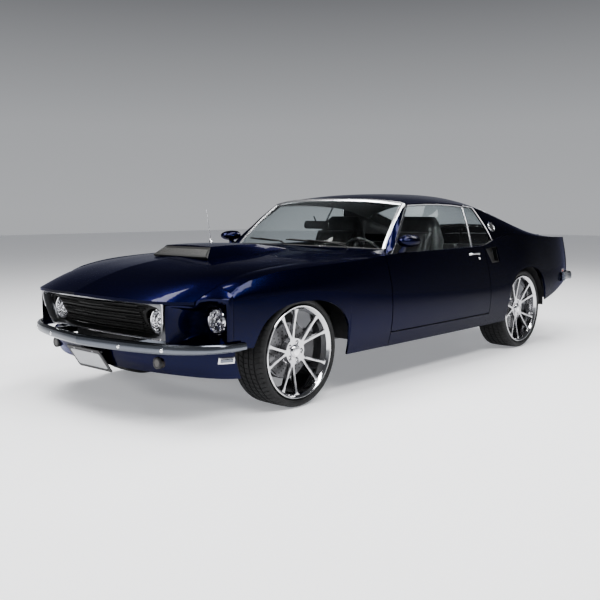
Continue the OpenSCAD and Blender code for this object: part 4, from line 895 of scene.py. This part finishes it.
def headlamp_units():
    ahead = (1, 0, 0)
    bowls, rings, bulbs, glasses = [], [], [], []
    for x, y in LAMPS:
        centre = Vector((x, y, LAMP_Z))
        r = LAMP_R
        rings.append(lathe([(r - 0.001, -0.014), (r, -0.004), (r - 0.002, 0.001), (r - 0.006, 0.003),
                            (r - 0.010, 0.001),
                            (r - 0.011, -0.008)], centre, ahead, 64))
        bowls.append(lathe([(r - 0.011, -0.006), (r - 0.016, -0.018), (r - 0.024, -0.030), (0.036, -0.040),
                            (0.022, -0.046), (0.0, -0.048)], centre, ahead, 22))
        bulbs.append(lathe([(0.027, -0.046), (0.027, -0.030), (0.0265, -0.026), (0.024, -0.024),
                            (0.022, -0.018),
                            (0.015, -0.0125), (0.0, -0.010)], centre, ahead, 36))
        glasses.append(lathe([(r - 0.011, -0.0035), (r - 0.012, -0.001), (0.052, 0.0035), (0.036, 0.0062),
                              (0.018, 0.0078), (0.0, 0.0084)], centre, ahead, 48))
    obj = piece("headlamp_rings", join_parts(*rings), "body", "chrome")
    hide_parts("headlamps")
    piece("headlamp_bowls", join_parts(*bowls), "body", "reflector", 8)
    piece("headlamp_domes", join_parts(*bulbs), "body", "reflector")
    piece("headlamp_glass", join_parts(*glasses), "body", "lens")


def grille_bars():
    """Fine level bars on the black grille, broken where the inner lamps stand."""
    tree, edge = surface("grille"), surface("grille_surround", "front_bumper", "hood")
    parts = []
    for row in range(18):
        z = 0.462 + row * 0.0118
        path = []
        for i in range(121):
            y = -0.60 + i * 0.010
            hit = touch(tree, (3, y, z), (-1, 0, 0))
            rim = touch(edge, (3, y, z), (-1, 0, 0))
            hidden = rim is not None and hit is not None and rim[0].x > hit[0].x
            near = math.hypot(abs(y) - 0.481, z - LAMP_Z) < 0.084
            if hit is None or hidden or near:
                if len(path) > 2:
                    parts.append(ribbon(path, BAR))
                path = []
            else:
                path.append((hit[0], Vector((1, 0, 0))))
        if len(path) > 2:
            parts.append(ribbon(path, BAR))
    piece("grille_bars", join_parts(*parts), "body", "grille_black")


# Half width and share of the height along the right half of the grille frame's outline
SURROUND = [(0.0, 0.0), (0.540, 0.0), (0.562, 0.12), (0.583, 0.36), (0.596, 0.66), (0.604, 0.93),
            (0.560, 0.965),
            (0.300, 0.985), (0.0, 1.0)]


def surround_lips():
    """Bright beads along the outer edge of the grille's frame and around its opening."""
    tree = surface("grille_surround")
    half = [(Vector((0, y, 0.452 + 0.220 * k)), Vector((1, 0, 0))) for y, k in SURROUND]
    parts = []
    for share_y, share_z in ((0.992, 0.972), (0.951, 0.775)):
        for sign in (1, -1):
            path = []
            for place, _ in evenly(half, 0.012):
                y = place.y * share_y * sign
                z = 0.562 + (place.z - 0.562) * share_z
                hit = touch(tree, (3, y, z), (-1, 0, 0))
                if hit and hit[1].x > 0.15:
                    path.append((hit[0], Vector((1, 0, 0))))
                elif len(path) > 4:
                    parts.append(ribbon(path, BEAD))
                    path = []
            if len(path) > 4:
                parts.append(ribbon(path, BEAD))
    piece("surround_lips", join_parts(*parts), "body", "chrome")


def front_plate():
    """A blank plate in a dark frame below the bumper."""
    placing = facing_matrix((2.292, -0.01, 0.306), (0.84, 0, -0.54))
    outline = rounded_outline(0.330, 0.160, 0.014)
    inner = rounded_outline(0.284, 0.112, 0.010)
    piece("plate_frame_front", slab(outline, 0.006, placing), "body", "trim")
    piece("plate_front", slab(inner, 0.0022, placing @ Matrix.Translation((0, 0, 0.006))), "body", "plate")
    ears = [tube([Vector((2.235, y, 0.352)), Vector((2.315, y, 0.352))], 0.006) for y in (-0.10, 0.10)]
    screws = [lathe([(0.0, 0.0035), (0.004, 0.003), (0.006, 0.001), (0.006, -0.001)],
                    placing @ Vector((y, 0.066, 0.0060)), (0.84, 0, -0.54), 16) for y in (-0.09, 0.09)]
    piece("plate_fixings_front", join_parts(*ears, *screws), "body", "steel")


def marker(name, tree, side, sign, rear_x, low_z, size, key):
    """A bright bezel and a lens that follow the panel, moved forward until the panel lies behind all of it."""
    for step in range(14):
        x = rear_x + 0.008 * step

        def spot(u, v, inset=0.0):
            return (x + inset + (size[0] - 2 * inset) * u, sign * 1.6,
                    low_z + inset + (size[1] - 2 * inset) * v)

        bezel = conforming(tree, spot, (0, -sign, 0), 10, 6, 0.005)
        lens = conforming(tree, lambda u, v: spot(u, v, 0.007), (0, -sign, 0), 10, 6, 0.0085)
        if bezel and lens:
            piece(f"marker_bezel_{name}_{side}", bezel, "body", "rim")
            piece(f"marker_lens_{name}_{side}", lens, "body", key)
            return


def side_markers():
    valance_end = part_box("front_valance")[0][0]
    for side, sign in SIDES:
        marker("front", surface("front_valance"), side, sign, valance_end + 0.006, 0.332, (0.078, 0.036),
               "bumper")
        marker("rear", surface(f"rear_quarter_{side}"), side, sign, -2.125, 0.580, (0.075, 0.036),
               "lamp_red")


def turn_lamp_rings():
    """Dark rims on the lamps under the bumper."""
    low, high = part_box("turn_lamps")
    x, z, r = high[0], (low[2] + high[2]) / 2, (high[2] - low[2]) / 2
    y = high[1] - r
    rings = [lathe([(r * 0.62, -0.0005), (r * 0.70, 0.0016), (r * 0.94, 0.0016), (r * 1.02, 0.0),
                    (r * 1.03, -0.014)],
                   (x, s * y, z), (1, 0, 0), 36) for s in (1, -1)]
    piece("turn_lamp_rings", join_parts(*rings), "body", "trim")


def bumper_bolts():
    tree = surface("front_bumper")
    parts = []
    for y in (-0.62, -0.34, 0.34, 0.62):
        hit = touch(tree, (3, y, 0.418), (-1, 0, 0))
        if hit:
            parts.append(lathe([(0.0, 0.004), (0.006, 0.0034), (0.010, 0.0014), (0.011, -0.001)], hit[0],
                               hit[1], 20))
    piece("bumper_bolts", join_parts(*parts), "body", "chrome")


def scoop_mouth():
    """Wire cloth and a black lip in the hood scoop's mouth."""
    top, base = (1.566, 0.213, 0.9100), (1.632, 0.254, 0.8585)
    rows = []
    for j in range(7):
        t = j / 6
        x, y, z = (a + (b - a) * t for a, b in zip(top, base))
        bow = 0.004 * math.sin(math.pi * t)
        rows.append([Vector((x + bow + 0.006 * (1 - (k / 8 - 1) ** 2), y * (k / 8 - 1),
                             z)) for k in range(17)])
    points = [p for row in rows for p in row]
    faces = [(j * 17 + k, j * 17 + k + 1, (j + 1) * 17 + k + 1,
              (j + 1) * 17 + k) for j in range(6) for k in range(16)]
    piece("scoop_mesh", (points, faces), "hood", "wire")
    edge = rows[0] + [row[-1] for row in rows[1:]] + rows[-1][-2::-1] + [row[0] for row in rows[-2:0:-1]]
    lip = [(p, Vector((0.72, 0, 0.69))) for p in edge]
    piece("scoop_lip", ribbon(outward(lip), [(-0.012, -0.002), (-0.012, 0.003), (0.002, 0.006),
                                             (0.006, -0.003)], closed=True),
          "hood", "rubber")


# Body fittings
def door_fittings(side, sign):
    tree = surface(f"door_{side}")
    path = []
    for i in range(17):
        t = i / 16
        hit = touch(tree, (-0.430 - 0.135 * t, sign * 1.6, 0.813), (0, -sign, 0))
        if hit:
            lift = 0.004 + 0.018 * math.sin(math.pi * t) ** 0.5
            path.append((hit[0] + hit[1] * lift, hit[1]))
    grip = [(-0.007, -0.001), (-0.006, 0.002), (-0.002, 0.004), (0.002, 0.004), (0.006, 0.002),
            (0.007, -0.001), (0.0, -0.002)]
    ends = []
    for i in (0, -1):
        place, normal = path[i]
        ends.append(lathe([(0.0, 0.002), (0.006, 0.0015), (0.0085, -0.001), (0.0095, -0.007)], place, normal,
                          24))
    lock = touch(tree, (-0.560, sign * 1.6, 0.778), (0, -sign, 0))
    ends.append(lathe([(0.0, 0.002), (0.003, 0.002), (0.004, 0.0035), (0.007, 0.0035), (0.009, 0.0)],
                      lock[0], lock[1], 24))
    piece(f"door_handle_{side}", join_parts(ribbon(path, grip), *ends), f"door_{side}", "chrome")
    face = Vector((0.3395, sign * 0.865, 0.938))
    points, faces = lathe([(0.0, 0.0005), (0.9, 0.0005), (0.97, 0.0), (1.0, -0.002)], (0, 0, 0), (-1, 0, 0),
                          40)
    glass = [face + Vector((p.x, p.y * 0.046, p.z * 0.029)) for p in points]
    piece(f"mirror_glass_{side}", (glass, faces), f"door_{side}", "mirror")


def wipers():
    """Two black arms and blades that rest low on the windshield."""
    loop = rim_loops(SKINS["windshield"].data, (0.7, 0, 0.7))[0]
    low = min(sides_of(loop), key=lambda p: mean_place(p).z)
    low = sorted(low, key=lambda s: s[0].y)
    tree = surface("windshield")

    def rest(y, up):
        near = min(low, key=lambda s: abs(s[0].y - y))[0]
        hit = touch(tree, (near.x - up * 0.80, y, near.z + up * 0.60 + 0.3), (0, 0, -1))
        return hit if hit else (near, Vector((0.6, 0, 0.8)))

    for number, (pivot, inner, outer) in enumerate(((0.50, 0.46, -0.02), (0.02, -0.04, -0.52))):
        blade = [rest(inner + (outer - inner) * i / 14, 0.030 + 0.020 * i / 14) for i in range(15)]
        rubber = [(-0.0025, 0.001), (-0.002, 0.009), (0.002, 0.009), (0.0025, 0.001)]
        frame_bar = [(-0.004, 0.009), (-0.0035, 0.014), (0.0035, 0.014), (0.004, 0.009)]
        near = min(low, key=lambda s: abs(s[0].y - pivot))[0]
        foot = near + Vector((0.022, 0, -0.004))
        middle, normal = blade[8]
        reach = middle + normal * 0.018
        knee = foot.lerp(reach, 0.25) + Vector((0, 0, 0.016))
        arm = tube([foot + Vector((0, 0, -0.010)), foot + Vector((0, 0, 0.012)), knee,
                    foot.lerp(reach, 0.6) + Vector((0, 0, 0.010)),
                    reach], 0.0045, 8, 0.7)
        boss = lathe([(0.0, 0.010), (0.008, 0.009), (0.011, 0.004), (0.012, -0.010)], foot, (0.2, 0, 1), 20)
        piece(f"wiper_{number}", join_parts(ribbon(blade, rubber), ribbon(blade[1:-1], frame_bar), arm,
                                            boss), "body", "rubber")


def antenna():
    foot, tip = Vector((0.813, -0.640, 0.904)), Vector((0.852, -0.640, 1.145))
    hit = touch(surface("front_fender_right"), foot + Vector((0, 0, 0.3)), (0, 0, -1))
    if hit:
        foot = hit[0]
    base = lathe([(0.0, 0.026), (0.004, 0.025), (0.007, 0.016), (0.011, 0.006), (0.014, 0.003),
                  (0.015, -0.003)],
                 foot, tip - foot, 24)
    mast = tube([foot.lerp(tip, t / 4) for t in range(5)], 0.0030, 10, 0.6)
    piece("antenna", join_parts(base, mast), "body", "chrome")


def medallions():
    for side, sign in SIDES:
        tree = surface("sail_panels", f"rear_quarter_{side}", "roof")
        hit = touch(tree, (-0.959, sign * 1.5, 1.006), (0, -sign, 0))
        if not hit:
            continue
        place, normal = hit
        piece(f"medallion_ring_{side}", lathe([(0.0352, 0.002), (0.036, 0.0045), (0.0385, 0.0045),
                                               (0.040, 0.002), (0.0405, -0.004)],
                                              place, normal, 48), "body", "chrome")
        piece(f"medallion_disc_{side}", lathe([(0.0, 0.0042), (0.020, 0.0038), (0.0352, 0.0022),
                                               (0.0356, -0.004)],
                                              place, normal, 48), "body", "trim")


def cowl_slot_shades():
    # The dark strips stand in for the cowl's vent slots; their black is painted shade where the openings would be
    tree = surface("cowl")
    low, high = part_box("cowl")
    x = (low[0] + high[0]) / 2
    parts = []
    for i in range(-9, 10):
        y = i * 0.045
        slot = conforming(tree, lambda u, v, c=y: (x - 0.016 + 0.032 * u, c - 0.009 + 0.018 * v, 1.3),
                          (0, 0, -1), 3, 3, 0.0012, 0.001)
        if slot:
            parts.append(slot)
    if parts:
        piece("cowl_slot_shades", join_parts(*parts), "body", "rubber")


def sills():
    for side, sign in SIDES:
        lining("inner_panels", f"sill_{side}",
               lambda c, n, s=sign: c.y * s > 0.74 and c.z < 0.42 and abs(c.x + 0.1) < 0.95 and (n.y * s > 0.25 or n.z < -0.6),
               0.0012, "body", "paint")


def rear_aprons():
    """Splash plates behind the rear wheels, from the wheel house out to the quarter's skin."""
    for side, sign in SIDES:
        tree = surface(f"rear_quarter_{side}")
        rows = []
        for k in range(9):
            z = 0.392 + 0.022 * k
            hit = touch(tree, (APRON_X, sign * 0.62, z), (0, sign, 0))
            if hit:
                outer, x = hit[0].y - sign * 0.002, APRON_X
                rows.append([Vector((x - 0.0015, sign * 0.56, z)), Vector((x + 0.0015, sign * 0.56, z)),
                             Vector((x + 0.0015, outer, z)), Vector((x - 0.0015, outer, z))])
        if len(rows) > 1:
            piece(f"rear_apron_{side}", sweep(rows), "body", "chassis")


# Rear
def rear_fittings():
    """Bezels around the tail lamps, a plain fuel cap and a blank plate."""
    tree = surface("tail_panel")
    lamp_parts = []
    low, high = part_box("tail_lamps")
    for loop in rim_loops(welded_mesh("tail_lamps", "tail_lamp_edges"), (-1, 0, 0)):
        lamp_parts.append(ribbon(loop, BEAD, closed=True))
    if lamp_parts:
        piece("tail_lamp_bezels", join_parts(*lamp_parts), "body", "chrome")
    hit = touch(tree, (-3, 0, (low[2] + high[2]) / 2), (1, 0, 0))
    if hit:
        cap = [(0.0, 0.012), (0.030, 0.011), (0.036, 0.008), (0.048, 0.010), (0.056, 0.009), (0.060, 0.004),
               (0.061, -0.004)]
        piece("fuel_cap", lathe(cap, hit[0], (-1, 0, 0), 56), "body", "chrome")
    hit = touch(surface("rear_valance"), (-3, 0, 0.40), (1, 0, 0))
    if hit:
        placing = facing_matrix((hit[0].x - 0.004, 0, 0.40), (-1, 0, 0))
        outline = rounded_outline(0.330, 0.150, 0.012)
        inner = rounded_outline(0.306, 0.130, 0.010)
        piece("plate_frame_rear", slab(outline, 0.005, placing), "body", "trim")
        piece("plate_rear", slab(inner, 0.0022, placing @ Matrix.Translation((0, 0, 0.005))), "body", "plate")


# Cabin
def cushion(name, centre, size, lean=0.0, puff=0.030, grooves=0):
    """A stuffed pad: rounded box, fuller in the middle, with pulled seams."""
    columns, rows = 26, 22
    turn = Matrix.Translation(centre) @ Matrix.Rotation(lean, 4, "Y")
    half = [s / 2 for s in size]
    top, bottom = [], []
    for j in range(rows + 1):
        for i in range(columns + 1):
            u, v = 2 * i / columns - 1, 2 * j / rows - 1
            edge = (1 - abs(u) ** 5) * (1 - abs(v) ** 5)
            rise = puff * (1 - u * u) ** 0.5 * (1 - v * v) ** 0.5
            share = v * 0.5 + 0.5
            seam = 0.0
            if grooves:
                inside = abs(u) < 0.70 and abs(v) < 0.74
                wave = abs(math.sin(math.pi * share * grooves))
                seam = 0.008 * (1 - min(1.0, wave * 3.0)) if inside else 0.0
                border = max(abs(u) / 0.72, abs(v) / 0.76)
                seam += 0.007 * max(0.0, 1 - abs(border - 1) * 12)
            squeeze = 0.92 + 0.08 * edge
            x, y = u * half[0] * squeeze, v * half[1] * squeeze
            top.append(turn @ Vector((x, y, half[2] * (0.55 + 0.45 * edge ** 0.5) + rise - puff - seam)))
            bottom.append(turn @ Vector((x, y, -half[2] * (0.6 + 0.4 * edge ** 0.5))))
    obj = piece(name, (top + bottom, shell_faces(columns, rows)), "body", "cabin", 60)
    mod = obj.modifiers.new("round", "SUBSURF")
    mod.levels = mod.render_levels = 1
    bake_modifiers(obj)
    shade(obj, 70)
    return obj


def seats():
    """Frames for the seats and the rear bench, and pads for the two bucket seats."""
    frame_obj = bevelled_skin("seats", "body", "cabin", 0.006, 40)
    frame_obj.name = "seat_frames"
    for side, sign in SIDES:
        y = sign * SEAT_Y
        cushion(f"seat_pad_{side}", (-0.045, y, 0.512), (0.47, 0.44, 0.090), 0.0, 0.032, 7)
        cushion(f"seat_back_pad_{side}", (-0.262, y, 0.775), (0.46, 0.42, 0.080), math.pi / 2 - 0.30, 0.030,
                7)


def cabin_fittings():
    for node, name, keep, key in (
            ("roof", "headliner", lambda c, n: n.z < -0.35 and c.z > 0.95, "carpet"),
            ("floor_pan", "carpet", lambda c, n: n.z > 0.6 and abs(c.y) < 0.74 and -1.0 < c.x < 0.95,
             "carpet")):
        lining(node, name, keep, 0.0025, "body", key)
    for side, sign in SIDES:
        lining("sail_panels", f"sail_lining_{side}",
               lambda c, n, s=sign: c.y * s > 0 and n.y * s < -0.2, 0.0025, "body", "cabin")
        lining(f"rear_quarter_{side}", f"quarter_lining_{side}",
               lambda c, n, s=sign: n.y * s < -0.3 and c.x > -1.15 and c.z > 0.42, 0.0025, "body", "cabin")
        lining(f"door_{side}", f"door_card_{side}",
               lambda c, n, s=sign: n.y * s < -0.6 and c.z > 0.30 and abs(c.y) < 0.88, 0.0025, f"door_{side}", "cabin")
    lever = tube([Vector((0.20, 0, 0.40)), Vector((0.19, 0, 0.50)), Vector((0.165, 0, 0.575))], 0.006)
    knob = lathe([(0.0, 0.032), (0.014, 0.028), (0.020, 0.016), (0.018, 0.004), (0.008, -0.006)],
                 (0.165, 0, 0.575), (-0.25, 0, 1), 28)
    boot = lathe([(0.010, 0.070), (0.022, 0.050), (0.030, 0.044), (0.036, 0.020), (0.055, 0.008),
                  (0.060, -0.010)],
                 (0.20, 0, 0.395), (0, 0, 1), 28)
    piece("shifter", join_parts(lever, knob), "body", "chrome")
    piece("shifter_boot", boot, "body", "cabin")
    inner_mirror()


def inner_mirror():
    """The mirror on its stalk behind the windshield's top edge."""
    hit = touch(surface("windshield"), (0.30, 0, 0.6), (0.15, 0, 1))
    foot = (hit[0] if hit else Vector((0.36, 0, 1.16))) + Vector((-0.010, 0, -0.010))
    head = foot + Vector((-0.040, 0, -0.065))
    placing = facing_matrix(head, (-1, 0, -0.12))
    outline = rounded_outline(0.230, 0.058, 0.022)
    shell = slab(outline, 0.020, placing @ Matrix.Translation((0, 0, -0.018)), 0.006)
    piece("inner_mirror_shell", join_parts(shell, tube([foot, foot.lerp(head, 0.5), head], 0.005)), "body",
          "trim")
    glass = [(x * 0.95, y * 0.88) for x, y in rounded_outline(0.225, 0.056, 0.020)]
    piece("inner_mirror_glass", slab(glass, 0.0012, placing @ Matrix.Translation((0, 0, 0.002)), 0.0005),
          "body", "mirror")


make_camera()
make_stage()
dress_cad()
make_wheels()
window_trim()
for side_name, side_sign in SIDES:
    side_trim(side_name, side_sign)
    door_fittings(side_name, side_sign)
headlamp_units()
grille_bars()
surround_lips()
front_plate()
side_markers()
turn_lamp_rings()
bumper_bolts()
scoop_mouth()
wipers()
antenna()
medallions()
cowl_slot_shades()
sills()
rear_aprons()
rear_fittings()
seats()
cabin_fittings()
